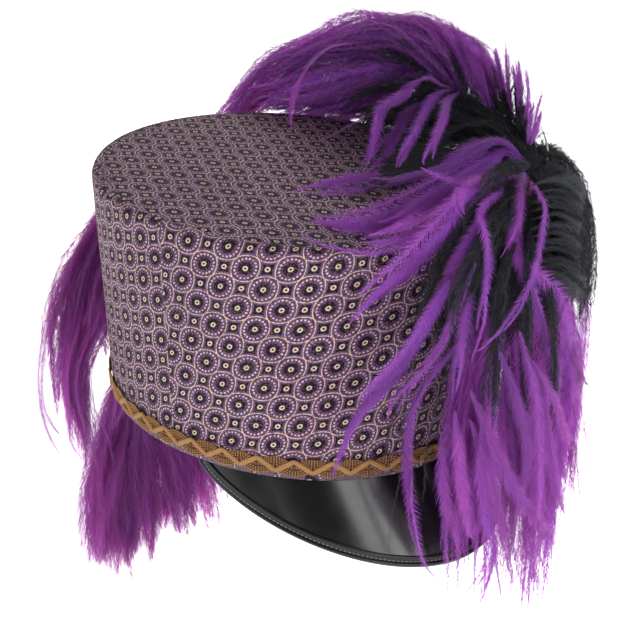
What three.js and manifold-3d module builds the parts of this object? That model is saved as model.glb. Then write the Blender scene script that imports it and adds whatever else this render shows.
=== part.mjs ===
// A shako: flared oval crown in brocade, gold braid, patent leather peak and an ostrich feather plume.
// Millimetres, +Z up. The origin is the centre of the rim's plane, where the hat sits on a head.
// The front is -Y and the wearer's left is +X.
import * as THREE from "three";
import { mergeVertices } from "three/addons/utils/BufferGeometryUtils.js";
import Module from "manifold-3d";

const wasm = await Module();
wasm.setup();

// Crown
const RIM_HALF_WIDTH = 86;
const RIM_HALF_LENGTH = 100.7;
const TOP_HALF_WIDTH = 95.7;
const TOP_HALF_LENGTH = 109.9;
const HEIGHT = 121.4;
const WALL = 2.5;
const EDGE_ROUND = 5;
const EDGE_STEPS = 3;
const TOP_DOME = 1;
const OVAL_STEPS = 64;

// Gap between neighbouring pieces
const GAP = 0.3;

// Braid band
const BRAID_FOOT = 2;
const BRAID_HEIGHT = 10;
const BRAID_THICK = 1.8;
const BRAID_WAVES = 33;
const BRAID_PEAK_TURN = -57.9;
const BRAID_WAVE_STEPS = 4;
const BRAID_SCALLOP = 0.8;

// Peak
const VISOR_HALF_TURN = 78;
const VISOR_REACH = 50;
const VISOR_END_REACH = 1.5;
const VISOR_ROUNDING = 0.57; // smaller is squarer at the ends
const VISOR_DROOP = 53;
const VISOR_THICK = 2;
const VISOR_COLLAR = 8;
const VISOR_STEPS = 32;
const VISOR_ROWS = 2;
const BINDING_WIDTH = 5;
const BINDING_THICK = 4.4;
const BINDING_SLOT_GAP = 0.4;
const BINDING_END_STEPS = 3;

// Plume
const PLUME_TURN = 18;
const STEM_RADIUS = 3;
const STEM_FOOT = 14;
const STEM_TOP = 136;
const STEM_GAP = 0.4;
const STEM_STEPS = 6;
const HEAD_OUT = 13;
const HEAD_RADIUS = 11;
const HEAD_HALF_HEIGHT = 3;
const HEAD_SIDES = 10;
const HEAD_ROWS = 5;
const FALL_HEAD = 133;
const BLACK_HEAD = 139.3;
const FRONT_HEAD = 145.6;
const CREST_HEAD = 151.9;
const LOCK_SIDES = 6;
const LOCK_STEPS = 5;
const LOCK_FLATNESS = 0.5;
const SHAFT_STEPS = 16;
const SHAFT_RADIUS = 3;

// Each lock runs from its root past a shoulder and a bend to its tip.
// A place on or off the hat is its turn from the front towards the wearer's left in degrees,
// its distance out from the wall and its height. The last column is the lock's width.
const FALL_LOCKS = table("shoulder bend tip width", [
  [[8, 13, 112], [-6, 27, 50], [-9, 42, -30], 22],
  [[12, 14, 108], [2, 31, 40], [-3, 46, -44], 24],
  [[18, 15, 106], [15, 35, 32], [4, 50, -62], 26],
  [[24, 15, 106], [26, 37, 32], [12, 50, -72], 26],
  [[29, 14, 104], [35, 38, 36], [20, 51, -50], 24],
  [[33, 14, 104], [41, 40, 60], [31, 55, -6], 22],
]);
const BLACK_LOCKS = table("shoulder bend tip width", [
  [[1, 22, 124], [-6, 20, 92], [-9, 18, 56], 20],
  [[9, 28, 128], [5, 30, 100], [3, 30, 66], 24],
  [[18, 32, 130], [20, 38, 104], [21, 40, 70], 24],
  [[26, 24, 134], [31, 31, 110], [34, 41, 72], 20],
  [[36, 18, 140], [40, 29, 116], [42, 44, 64], 20],
  [[36, 22, 130], [50, 36, 100], [55, 43, 50], 28],
  [[46, 16, 138], [61, 30, 114], [68, 36, 70], 26],
  [[50, 0, 148], [80, -10, 145], [112, -6, 131], 24],
  [[48, -16, 142], [72, -40, 130], [112, -44, 126], 18],
  [[26, -26, 142], [18, -62, 131], [-16, -74, 126], 18],
]);
const FRONT_LOCKS = table("shoulder bend tip width", [
  [[18, -18, 152], [15, -48, 134], [-40, -66, 126], 14],
  [[18, -6, 152], [-2, -24, 136], [-48, -31, 126], 18],
  [[4, 2, 147], [-12, -2, 137], [-40, -4, 126], 18],
  [[-6, 18, 152], [-20, 17, 129], [-38, 8, 82], 18],
  [[-14, 32, 134], [-23, 34, 92], [-39, 21, 2], 13],
  [[-12, 32, 134], [-16, 42, 100], [-16, 40, 50], 12],
  [[-3, 40, 130], [4, 51, 102], [24, 54, 24], 12],
]);

// The crest's shaft runs back along the top edge and down behind.
const CREST_SHAFT = [
  [18, 14, 152],
  [38, -3, 160],
  [54, -17, 163],
  [74, -16, 165],
  [98, -4, 160],
  [122, 6, 147],
  [142, 13, 124],
  [160, 15, 88],
  [174, 16, 44],
  [184, 17, -2],
  [192, 17, -46],
];
// A crest lock also has its place along the shaft, from 0 to 1.
const CREST_LOCKS = table("along shoulder bend tip width", [
  [0.03, [30, 10, 162], [32, 10, 168], [35, 11, 175], 9],
  [0.07, [38, 3, 170], [42, 3, 180], [45, 3, 188], 12],
  [0.1, [46, -4, 172], [50, -5, 182], [53, -6, 190], 10],
  [0.12, [57, -7, 172], [73, -6, 182], [91, -19, 184], 16],
  [0.17, [65, -17, 174], [83, -16, 183], [121, -8, 168], 20],
  [0.22, [80, -16, 174], [100, -14, 178], [140, 11, 140], 24],
  [0.28, [96, -11, 170], [123, 9, 160], [152, 23, 108], 26],
  [0.36, [118, 3, 156], [137, 17, 142], [161, 24, 80], 26],
  [0.31, [104, -10, 157], [124, -12, 146], [148, -4, 126], 22],
  [0.25, [90, -2, 150], [104, 0, 136], [122, 8, 106], 30],
  [0.33, [112, 8, 142], [126, 12, 124], [142, 14, 88], 30],
  [0.2, [72, -24, 165], [80, -36, 152], [45, -66, 129], 14],
  [0.15, [62, -22, 164], [60, -36, 150], [47, -50, 130], 14],
  [0.62, [184, 24, 69], [199, 31, 36], [208, 30, -7], 24],
  [0.69, [188, 28, 48], [206, 37, 14], [218, 34, -40], 16],
  [0.78, [192, 29, 12], [203, 33, -17], [201, 26, -80], 20],
  [0.64, [158, 26, 62], [147, 34, 36], [144, 28, -30], 28],
  [0.76, [170, 30, 10], [161, 28, -54], [159, 4, -147], 28],
  [0.92, [175, 27, -57], [168, 24, -96], [167, 8, -143], 28],
  [0.94, [180, 28, -64], [177, 26, -109], [181, 8, -158], 30],
  [0.93, [183, 28, -64], [188, 27, -108], [195, 14, -156], 30],
  [0.93, [186, 28, -58], [194, 27, -94], [202, 20, -142], 26],
]);

// Turns rows of values into objects with the named columns.
function table(columns, rows) {
  const names = columns.split(" ");
  return rows.map((row) => Object.fromEntries(names.map((name, i) => [name, row[i]])));
}

// The outer wall's half width and half length at a height.
function ovalAt(height) {
  const rise = THREE.MathUtils.clamp(height / HEIGHT, 0, 1);
  return {
    halfWidth: THREE.MathUtils.lerp(RIM_HALF_WIDTH, TOP_HALF_WIDTH, rise),
    halfLength: THREE.MathUtils.lerp(RIM_HALF_LENGTH, TOP_HALF_LENGTH, rise),
  };
}

function onHat(turn, out, height) {
  const angle = THREE.MathUtils.degToRad(turn);
  const { halfWidth, halfLength } = ovalAt(height);
  return new THREE.Vector3(
    (halfWidth + out) * Math.sin(angle),
    -(halfLength + out) * Math.cos(angle),
    height,
  );
}

// Moves each vertex of a geometry to where place puts it.
function bend(geometry, place) {
  const position = geometry.attributes.position;
  const vertex = new THREE.Vector3();
  for (let i = 0; i < position.count; i++) {
    vertex.fromBufferAttribute(position, i);
    position.setXYZ(i, ...place(vertex));
  }
  return geometry;
}

function solidOf(geometry) {
  geometry.deleteAttribute("normal");
  geometry.deleteAttribute("uv");
  const merged = mergeVertices(geometry, 1e-3);
  return new wasm.Manifold(
    new wasm.Mesh({
      numProp: 3,
      vertProperties: merged.attributes.position.array,
      triVerts: new Uint32Array(merged.index.array),
    }),
  );
}

function geometryOf(solid) {
  const { vertProperties, triVerts } = solid.getMesh();
  return new THREE.BufferGeometry()
    .setAttribute("position", new THREE.BufferAttribute(vertProperties, 3))
    .setIndex(new THREE.BufferAttribute(triVerts, 1))
    .toNonIndexed();
}

function join(solids) {
  return solids.reduce((whole, solid) => whole.add(solid));
}

// The piece that stays attached after a cut.
function biggest(solid) {
  return solid.decompose().reduce((best, part) => (part.volume() > best.volume() ? part : best));
}

// A ring that follows the oval: the profile holds [out, height] pairs and closes on itself.
const LATHE_RADIUS = 1000;
function ovalRing(profile, steps, wave = () => 0) {
  const points = profile.map(([out, height]) => new THREE.Vector2(LATHE_RADIUS + out, height));
  points.push(points[0].clone());
  return bend(new THREE.LatheGeometry(points, steps), ({ x, y, z }) => {
    const turn = THREE.MathUtils.radToDeg(Math.atan2(x, z));
    const out = Math.hypot(x, z) - LATHE_RADIUS;
    return onHat(turn, out, y + wave(turn, y));
  });
}

function arc(centre, radius, from, to, steps) {
  return Array.from({ length: steps + 1 }, (_, i) => {
    const angle = THREE.MathUtils.degToRad(from + ((to - from) * i) / steps);
    return [centre[0] + radius * Math.cos(angle), centre[1] + radius * Math.sin(angle)];
  });
}

function crownSide() {
  const centre = [-EDGE_ROUND, HEIGHT - EDGE_ROUND];
  return ovalRing(
    [
      [0, 0],
      ...arc(centre, EDGE_ROUND, 0, 90, EDGE_STEPS),
      ...arc(centre, EDGE_ROUND - WALL, 90, 0, EDGE_STEPS),
      [-WALL, 0],
    ],
    OVAL_STEPS,
  );
}

// The top disc is a squashed cylinder whose upper face rises a little towards the middle.
function crownTop() {
  const inset = EDGE_ROUND + GAP;
  const halfWidth = TOP_HALF_WIDTH - inset;
  const halfLength = TOP_HALF_LENGTH - inset;
  const disc = new THREE.CylinderGeometry(1, 1, WALL, OVAL_STEPS);
  return bend(disc, ({ x, y, z }) => {
    const rise = TOP_DOME * (1 - Math.min(1, x * x + z * z));
    return [x * halfWidth, -z * halfLength, HEIGHT - WALL / 2 + y + rise];
  });
}

// The braid's upper and lower edges wave in step with its loops.
function braidBand() {
  const inner = GAP;
  const outer = GAP + BRAID_THICK;
  const middle = BRAID_FOOT + BRAID_HEIGHT / 2;
  const foot = BRAID_FOOT + BRAID_SCALLOP;
  const head = BRAID_FOOT + BRAID_HEIGHT - BRAID_SCALLOP;
  const profile = [[inner, foot], [outer, foot], [outer, head], [inner, head]];
  const phase = (turn) => THREE.MathUtils.degToRad((turn - BRAID_PEAK_TURN) * BRAID_WAVES);
  const wave = (turn, height) => Math.sign(height - middle) * BRAID_SCALLOP * Math.cos(phase(turn));
  return ovalRing(profile, BRAID_WAVES * BRAID_WAVE_STEPS, wave);
}

// The turn at a place from -1 to 1 along the peak, and how far the peak reaches at a turn.
function visorTurn(along) {
  return VISOR_HALF_TURN * Math.sin((Math.PI / 2) * along);
}

function visorReach(turn) {
  const fade = Math.max(0, Math.cos(((Math.PI / 2) * turn) / VISOR_HALF_TURN));
  return VISOR_END_REACH + (VISOR_REACH - VISOR_END_REACH) * fade ** VISOR_ROUNDING;
}

// A point of the peak's middle surface. Across is -1 at the collar's top, 0 at the bend and 1 at the edge.
function visorPoint(along, across) {
  const turn = visorTurn(along);
  const root = onHat(turn, -WALL - GAP - VISOR_THICK / 2, 0);
  root.z -= GAP + VISOR_THICK / 2;
  if (across < 0) {
    root.z -= across * VISOR_COLLAR;
    return root;
  }
  const droop = THREE.MathUtils.degToRad(VISOR_DROOP);
  const reach = across * visorReach(turn);
  return root.add(new THREE.Vector3(0, -Math.cos(droop) * reach, -Math.sin(droop) * reach));
}

// Directions on the peak's surface come from points this far apart, as a share of its half length.
const VISOR_PROBE = 0.02;

function visorEdgeway(along, across) {
  const ahead = visorPoint(Math.min(1, along + VISOR_PROBE), across);
  return ahead.sub(visorPoint(Math.max(-1, along - VISOR_PROBE), across)).normalize();
}

function visorNormal(along, across) {
  const below = visorPoint(along, Math.min(1, across + VISOR_PROBE));
  const down = below.sub(visorPoint(along, Math.max(-1, across - VISOR_PROBE)));
  return down.cross(visorEdgeway(along, across)).normalize();
}

// The peak as a bent sheet, thickened by grow on both faces and past its edge.
function visorSheet(grow = 0) {
  const sheet = new THREE.BoxGeometry(2, 2, 1, VISOR_STEPS, 2 * VISOR_ROWS, 1);
  return bend(sheet, ({ x, y, z }) => {
    const across = -y;
    const point = visorPoint(x, across);
    const past = across === 1 ? grow : 0;
    const droop = THREE.MathUtils.degToRad(VISOR_DROOP);
    point.add(new THREE.Vector3(0, -Math.cos(droop) * past, -Math.sin(droop) * past));
    return point.addScaledVector(visorNormal(x, across), 2 * z * (VISOR_THICK / 2 + grow));
  });
}

// The binding is a folded strip with a round nose, bent along the peak's edge, with a slot for the edge.
function visorBinding() {
  const half = BINDING_THICK / 2;
  const slot = VISOR_THICK / 2 + BINDING_SLOT_GAP;
  const section = new THREE.Shape();
  section.moveTo(-BINDING_WIDTH, -half);
  section.lineTo(0, -half);
  section.absarc(0, 0, half, -Math.PI / 2, Math.PI / 2, false);
  section.lineTo(-BINDING_WIDTH, half);
  section.lineTo(-BINDING_WIDTH, slot);
  section.lineTo(BINDING_SLOT_GAP, slot);
  section.lineTo(BINDING_SLOT_GAP, -slot);
  section.lineTo(-BINDING_WIDTH, -slot);
  const steps = VISOR_STEPS - 2 * BINDING_END_STEPS;
  const extrude = { depth: 1, steps, curveSegments: 4, bevelEnabled: false };
  const strip = new THREE.ExtrudeGeometry(section, extrude);
  return bend(strip, ({ x, y, z }) => {
    const along = (2 * (BINDING_END_STEPS + z * steps)) / VISOR_STEPS - 1;
    const normal = visorNormal(along, 1);
    const outward = visorEdgeway(along, 1).cross(normal).normalize();
    return visorPoint(along, 1).addScaledVector(outward, x).addScaledVector(normal, -y);
  });
}

// The direction away from the hat: outward beside the wall, turning upward over the top.
const TURN_UP_FROM = 0.8 * HEIGHT;
const TURN_UP_RATE = 3;
function awayFrom(point) {
  const above = Math.max(0, point.z - TURN_UP_FROM);
  return new THREE.Vector3(point.x, point.y, TURN_UP_RATE * above).normalize();
}

// A lock's half width as a share of its widest: it swells from its root and narrows to its tip.
const LOCK_TIP = 0.3;
const LOCK_ROOT_PHASE = 0.14;
const LOCK_LATE_TAPER = 0.26;
function lockSwell(t) {
  const early = 1 - LOCK_ROOT_PHASE - LOCK_LATE_TAPER;
  const phase = LOCK_ROOT_PHASE + early * t + LOCK_LATE_TAPER * t ** 3;
  return LOCK_TIP + (1 - LOCK_TIP) * Math.sin(Math.PI * Math.min(1, phase));
}

// A flattened tube along a curve, its half width given by a function of t from 0 to 1.
function strand(curve, steps, halfWidth, flatness, grow) {
  const tube = new THREE.CylinderGeometry(1, 1, 1, LOCK_SIDES, steps);
  return solidOf(
    bend(tube, ({ x, y, z }) => {
      const t = THREE.MathUtils.clamp(y + 0.5, 0, 1);
      const centre = curve.getPointAt(t);
      const tangent = curve.getTangentAt(t);
      const away = awayFrom(centre);
      away.addScaledVector(tangent, -away.dot(tangent)).normalize();
      const side = tangent.clone().cross(away);
      const wide = halfWidth(t) + grow;
      const deep = halfWidth(t) * flatness + grow;
      const ends = t === 0 ? -grow : t === 1 ? grow : 0;
      return centre
        .addScaledVector(side, x * wide)
        .addScaledVector(away, z * deep)
        .addScaledVector(tangent, ends);
    }),
  );
}

function smoothCurve(points) {
  return new THREE.CatmullRomCurve3(points, false, "centripetal");
}

function curveThrough(places) {
  return smoothCurve(places.map((place) => onHat(...place)));
}

function lock(root, { shoulder, bend: middle, tip, width }, grow) {
  const curve = smoothCurve([root, onHat(...shoulder), onHat(...middle), onHat(...tip)]);
  return strand(curve, LOCK_STEPS, (t) => (width / 2) * lockSwell(t), LOCK_FLATNESS, grow);
}

function plumeHead(height, grow) {
  const head = new THREE.SphereGeometry(1, HEAD_SIDES, HEAD_ROWS);
  const centre = onHat(PLUME_TURN, HEAD_OUT, height);
  return solidOf(
    head
      .rotateX(Math.PI / 2)
      .scale(HEAD_RADIUS + grow, HEAD_RADIUS + grow, HEAD_HALF_HEIGHT + grow)
      .translate(centre.x, centre.y, centre.z),
  );
}

function plumeLocks(locks, headHeight, grow) {
  const root = onHat(PLUME_TURN, HEAD_OUT, headHeight);
  return join([plumeHead(headHeight, grow), ...locks.map((row) => lock(root, row, grow))]);
}

function crest(grow) {
  const shaft = curveThrough(CREST_SHAFT);
  const rod = strand(shaft, SHAFT_STEPS, () => SHAFT_RADIUS, 1, grow);
  const locks = CREST_LOCKS.map((row) => lock(shaft.getPointAt(row.along), row, grow));
  return join([plumeHead(CREST_HEAD, grow), rod, ...locks]);
}

function stem(grow) {
  const out = STEM_RADIUS + STEM_GAP;
  const heights = [STEM_FOOT, HEIGHT / 2, HEIGHT, STEM_TOP];
  const path = curveThrough(heights.map((height) => [PLUME_TURN, out, height]));
  return strand(path, STEM_STEPS, () => STEM_RADIUS, 1, grow);
}

// The outside of the crown and the peak, grown a little, that the plume lies against.
function hatOutside() {
  const body = new THREE.CylinderGeometry(1, 1, 1, OVAL_STEPS, 2);
  const crown = bend(body, ({ x, y, z }) => {
    const height = THREE.MathUtils.lerp(-GAP, HEIGHT + TOP_DOME + GAP, y + 0.5);
    const { halfWidth, halfLength } = ovalAt(height);
    return [x * (halfWidth + GAP), -z * (halfLength + GAP), height];
  });
  return join([solidOf(crown), solidOf(visorSheet(BINDING_THICK / 2))]);
}

const PLUME_PURPLE = new THREE.MeshStandardMaterial({ color: 0x7a2fa0, roughness: 0.9 });
const PLUME_BLACK = new THREE.MeshStandardMaterial({ color: 0x16181a, roughness: 0.9 });
const BROCADE = new THREE.MeshStandardMaterial({ color: 0x6a4a80, roughness: 0.7, metalness: 0.1 });
const GOLD = new THREE.MeshStandardMaterial({ color: 0xb8863c, roughness: 0.5, metalness: 0.4 });
const PATENT = new THREE.MeshStandardMaterial({ color: 0x08080a, roughness: 0.12 });
const WIRE = new THREE.MeshStandardMaterial({ color: 0x202022, roughness: 0.6 });

const hat = new THREE.Group();
function put(name, geometry, material) {
  const mesh = new THREE.Mesh(geometry, material);
  mesh.name = name;
  hat.add(mesh);
}

put("crown_side", crownSide(), BROCADE);
put("crown_top", crownTop(), BROCADE);
put("braid_band", braidBand(), GOLD);
put("visor", visorSheet(), PATENT);
put("visor_binding", visorBinding(), PATENT);
put("plume_stem", geometryOf(stem(0)), WIRE);

// The plume's layers from the top down, each cut clear of the hat, the stem and the layers above it.
const LAYERS = [
  { name: "plume_crest", build: crest, material: PLUME_PURPLE },
  { name: "plume_front", build: (grow) => plumeLocks(FRONT_LOCKS, FRONT_HEAD, grow), material: PLUME_PURPLE },
  { name: "plume_black", build: (grow) => plumeLocks(BLACK_LOCKS, BLACK_HEAD, grow), material: PLUME_BLACK },
  { name: "plume_fall", build: (grow) => plumeLocks(FALL_LOCKS, FALL_HEAD, grow), material: PLUME_PURPLE },
];
let taken = join([hatOutside(), stem(GAP)]);
for (const { name, build, material } of LAYERS) {
  put(name, geometryOf(biggest(build(0).subtract(taken))), material);
  taken = taken.add(build(GAP));
}

export default hat;
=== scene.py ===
"""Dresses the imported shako: brocade crown, gimp braid, patent leather peak and an ostrich plume."""
import math

import bmesh
import bpy
import numpy as np
from bpy.props import FloatProperty, FloatVectorProperty, IntProperty, PointerProperty
from mathutils import Matrix, Vector, noise


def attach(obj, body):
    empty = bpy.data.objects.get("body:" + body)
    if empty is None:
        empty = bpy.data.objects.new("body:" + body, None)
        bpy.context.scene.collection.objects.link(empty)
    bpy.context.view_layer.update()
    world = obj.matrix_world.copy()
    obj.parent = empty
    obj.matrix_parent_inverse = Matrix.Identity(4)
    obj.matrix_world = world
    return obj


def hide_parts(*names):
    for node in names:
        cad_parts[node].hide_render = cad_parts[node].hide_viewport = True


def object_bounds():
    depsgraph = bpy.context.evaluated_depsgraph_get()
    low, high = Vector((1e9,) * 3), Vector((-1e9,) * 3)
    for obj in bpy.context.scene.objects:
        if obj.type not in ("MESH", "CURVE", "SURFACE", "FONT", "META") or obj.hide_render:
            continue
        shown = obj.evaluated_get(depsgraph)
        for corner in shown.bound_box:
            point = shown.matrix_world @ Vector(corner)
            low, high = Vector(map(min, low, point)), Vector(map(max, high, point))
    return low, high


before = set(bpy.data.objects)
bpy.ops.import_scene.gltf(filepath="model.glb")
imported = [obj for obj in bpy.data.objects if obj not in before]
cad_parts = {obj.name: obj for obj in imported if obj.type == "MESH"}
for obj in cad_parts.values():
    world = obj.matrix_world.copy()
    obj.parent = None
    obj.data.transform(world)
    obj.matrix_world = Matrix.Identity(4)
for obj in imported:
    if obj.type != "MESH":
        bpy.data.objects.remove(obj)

bl_info = {
    "name": "Shako Dressing",
    "version": (1, 0, 0),
    "blender": (4, 5, 0),
    "location": "View3D > Sidebar > Shako",
    "description": "Finishes a brocade shako with braid, a glossy peak and a feather plume",
    "category": "Object",
}

CAD_BOX = [list(corner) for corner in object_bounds()]
BODY = "root"
MM = 0.001


def length(name, text, default):
    """A size in metres that a user can change."""
    return FloatProperty(
        name=name, description=text, default=default, unit="LENGTH", subtype="DISTANCE", precision=5
    )


def angle(name, text, degrees):
    """An angle that a user can change, kept in radians."""
    return FloatProperty(
        name=name, description=text, default=math.radians(degrees), unit="ROTATION", subtype="ANGLE"
    )


def colour(name, text, *rgb):
    """A linear colour that a user can change."""
    return FloatVectorProperty(
        name=name, description=text, default=rgb, size=3, min=0, max=1, subtype="COLOR"
    )


class ShakoSizes(bpy.types.PropertyGroup):
    """Sizes of the hat, the same as its solids have."""

    rim_half_width: length("Rim half width", "From the middle to the side of the rim", 0.0860)
    rim_half_length: length("Rim half length", "From the middle to the front of the rim", 0.1007)
    top_half_width: length("Top half width", "From the middle to the side of the top", 0.0957)
    top_half_length: length("Top half length", "From the middle to the front of the top", 0.1099)
    height: length("Height", "From the rim to the top", 0.1214)
    wall: length("Wall", "Thickness of the crown's wall", 0.0025)
    edge_round: length("Edge roll", "Radius of the roll at the top edge", 0.0050)
    top_dome: length("Top dome", "Rise of the top's middle", 0.0010)
    braid_foot: length("Braid foot", "Height of the braid's lower edge", 0.0020)
    braid_height: length("Braid height", "Height of the braid itself", 0.0100)
    braid_thick: length("Braid thickness", "How far the braid stands off the wall", 0.0021)
    braid_waves: IntProperty(name="Braid waves", description="Zigzags round the hat", default=33)
    visor_half_turn: angle("Peak half turn", "Turn from the front to the peak's end", 78)
    visor_reach: length("Peak reach", "Length of the peak at the front", 0.050)
    visor_end_reach: length("Peak end reach", "Length of the peak at its ends", 0.0015)
    visor_droop: angle("Peak droop", "Slope of the peak below level", 53)
    visor_thick: length("Peak thickness", "Thickness of the leather", 0.002)
    visor_collar: length("Peak collar", "Leather tucked up inside the wall", 0.008)
    binding_width: length("Binding width", "Width of the binding on the peak's edge", 0.005)
    binding_thick: length("Binding thickness", "Thickness of the binding", 0.0044)


class ShakoColours(bpy.types.PropertyGroup):
    """Colours of the hat."""

    cloth: colour("Cloth", "Lavender ground of the brocade", 0.100, 0.047, 0.122)
    cloth_dark: colour("Cloth dark", "Dark figures of the brocade", 0.012, 0.005, 0.016)
    cloth_cream: colour("Cloth cream", "Cream outlines and rings", 0.770, 0.610, 0.450)
    cloth_pearl: colour("Cloth pearl", "Pale dots of the brocade", 0.710, 0.520, 0.570)
    lining: colour("Lining", "Inside of the wall", 0.030, 0.020, 0.035)
    gold: colour("Gold", "Satin gimp cord", 0.365, 0.188, 0.066)
    # Painted shade: the braid's low parts and the shells behind its fans take this darker gold
    gold_painted_shade: colour("Gold deep", "Shade between the cords", 0.085, 0.026, 0.012)
    leather: colour("Leather", "Patent leather", 0.006, 0.006, 0.007)
    thread: colour("Thread", "Stitches on the binding", 0.110, 0.110, 0.115)
    purple: colour("Purple", "Dyed purple barbs", 0.700, 0.160, 0.900)
    black: colour("Black", "Dyed black barbs", 0.019, 0.022, 0.027)
    quill: colour("Quill", "Bare shaft of a feather", 0.620, 0.590, 0.560)


# Places on the hat

# Places are kept out of the crown down to this far below its rim
RIM_CLEAR = 0.01
# The least share of the oval from which a place is moved all the way out
LEAST_SHARE = 0.3


class HatForm:
    """The crown's flared oval: places are given as turn from the front, out from the wall, and height."""

    def __init__(self, sizes):
        self.rim = np.array([sizes.rim_half_width, sizes.rim_half_length])
        self.top = np.array([sizes.top_half_width, sizes.top_half_length])
        self.height = sizes.height

    def halves(self, height):
        """Half width and half length of the oval at a height."""
        up = np.clip(np.asarray(height) / self.height, 0, 1)[..., None]
        return self.rim + (self.top - self.rim) * up

    def at(self, turn, out, height):
        """Places in metres for turns in radians."""
        turn, out, height = np.broadcast_arrays(turn, out, height)
        half = self.halves(height) + out[..., None]
        return np.stack([half[..., 0] * np.sin(turn), -half[..., 1] * np.cos(turn), height], axis=-1)

    def points(self, rows):
        """Places in metres for rows of (turn in degrees, out in mm, height in mm)."""
        rows = np.asarray(rows, float)
        return self.at(np.radians(rows[..., 0]), rows[..., 1] * MM, rows[..., 2] * MM)

    def rim_run(self, start, turn, steps=720):
        """Length round the rim from one turn to others."""
        turns = np.linspace(start - 1, start + math.tau + 1, steps)
        pace = np.hypot(self.rim[0] * np.cos(turns), self.rim[1] * np.sin(turns))
        run = np.concatenate([[0], np.cumsum((pace[1:] + pace[:-1]) / 2 * np.diff(turns))])
        return np.interp(turn, turns, run) - np.interp(start, turns, run)

    def clear(self, places, gap):
        """Places moved out of the crown, over its top or off its wall."""
        half = self.halves(places[..., 2]) + gap
        share = np.hypot(places[..., 0] / half[..., 0], places[..., 1] / half[..., 1])
        grow = 1 / np.clip(share, LEAST_SHARE, 1)
        lid = self.height + gap
        inside = (share < 1) & (places[..., 2] < lid) & (places[..., 2] > -RIM_CLEAR)
        aside = (grow - 1) * np.hypot(places[..., 0], places[..., 1])
        near_top = inside & (lid - places[..., 2] < aside)
        moved = places.copy()
        moved[..., 2] = np.where(near_top, lid, moved[..., 2])
        grow = np.where(inside & ~near_top, grow, 1)
        moved[..., :2] *= grow[..., None]
        return moved


def unit(vectors):
    """Vectors of length one."""
    return vectors / np.maximum(np.linalg.norm(vectors, axis=-1, keepdims=True), 1e-9)


def current_form():
    """The form for the sizes that are set now."""
    return HatForm(bpy.context.scene.shako_sizes)


# Making pieces

def place_piece(name, mesh, node, slot, *paints):
    """Adds a finished piece that stands for a node of the frame."""
    piece = bpy.data.objects.new(name, mesh)
    bpy.context.scene.collection.objects.link(piece)
    for paint in paints:
        mesh.materials.append(paint)
    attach(piece, BODY)
    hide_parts(node)
    return piece


def mesh_of(bm, name):
    """A smooth mesh from a bmesh, which is freed."""
    for face in bm.faces:
        face.smooth = True
    mesh = bpy.data.meshes.new(name)
    bm.to_mesh(mesh)
    bm.free()
    return mesh


def mesh_from_arrays(name, places, faces, marks=None):
    """A smooth mesh from arrays of places and of triangles, with named numbers at its vertices."""
    mesh = bpy.data.meshes.new(name)
    mesh.vertices.add(len(places))
    mesh.vertices.foreach_set("co", np.ascontiguousarray(places, np.float32).ravel())
    mesh.loops.add(faces.size)
    mesh.loops.foreach_set("vertex_index", faces.astype(np.int32).ravel())
    mesh.polygons.add(len(faces))
    mesh.polygons.foreach_set("loop_start", np.arange(0, faces.size, faces.shape[1], dtype=np.int32))
    mesh.polygons.foreach_set("use_smooth", np.full(len(faces), True))
    for mark, values in (marks or {}).items():
        layer = mesh.attributes.new(mark, "FLOAT", "POINT")
        layer.data.foreach_set("value", np.ascontiguousarray(values, np.float32).ravel())
    mesh.update(calc_edges=True)
    mesh.validate()
    return mesh


def tube_faces(rings, sides):
    """Triangles of a tube of rings of vertices, closed at both ends."""
    at = np.arange(rings - 1)[:, None] * sides
    k = np.arange(sides)
    n = (k + 1) % sides
    quads = np.stack([at + k, at + n, at + n + sides, at + k + sides], axis=-1).reshape(-1, 4)
    cap = np.array([(0, side, side + 1) for side in range(1, sides - 1)])
    last = cap + (rings - 1) * sides
    return np.concatenate([quads[:, [0, 1, 2]], quads[:, [0, 2, 3]], cap[:, ::-1], last])


# Shader maths

class Wire:
    """A shader socket that Python's operators work on: each adds its Math node."""

    def __init__(self, paint, socket):
        self.paint = paint
        self.socket = socket

    def math(self, operation, *values):
        """The result of a Math node on values or sockets."""
        return self.paint.node("ShaderNodeMath", {"operation": operation}, dict(enumerate(values)))

    def __add__(self, other):
        return self.math("ADD", self, other)

    def __radd__(self, other):
        return self.math("ADD", other, self)

    def __sub__(self, other):
        return self.math("SUBTRACT", self, other)

    def __rsub__(self, other):
        return self.math("SUBTRACT", other, self)

    def __mul__(self, other):
        return self.math("MULTIPLY", self, other)

    def __rmul__(self, other):
        return self.math("MULTIPLY", other, self)

    def __pow__(self, other):
        return self.math("POWER", self, other)

    def __abs__(self):
        return self.math("ABSOLUTE", self)

    def use(self, operation):
        """The result of a one-value operation, such as SINE or FLOOR."""
        return self.math(operation, self)

    def rise(self, low, high):
        """0 below low, 1 above high, and smooth between."""
        sockets = {0: self, 1: low, 2: high, 3: 0.0, 4: 1.0}
        return self.paint.node("ShaderNodeMapRange", {"interpolation_type": "SMOOTHSTEP"}, sockets)


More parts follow.
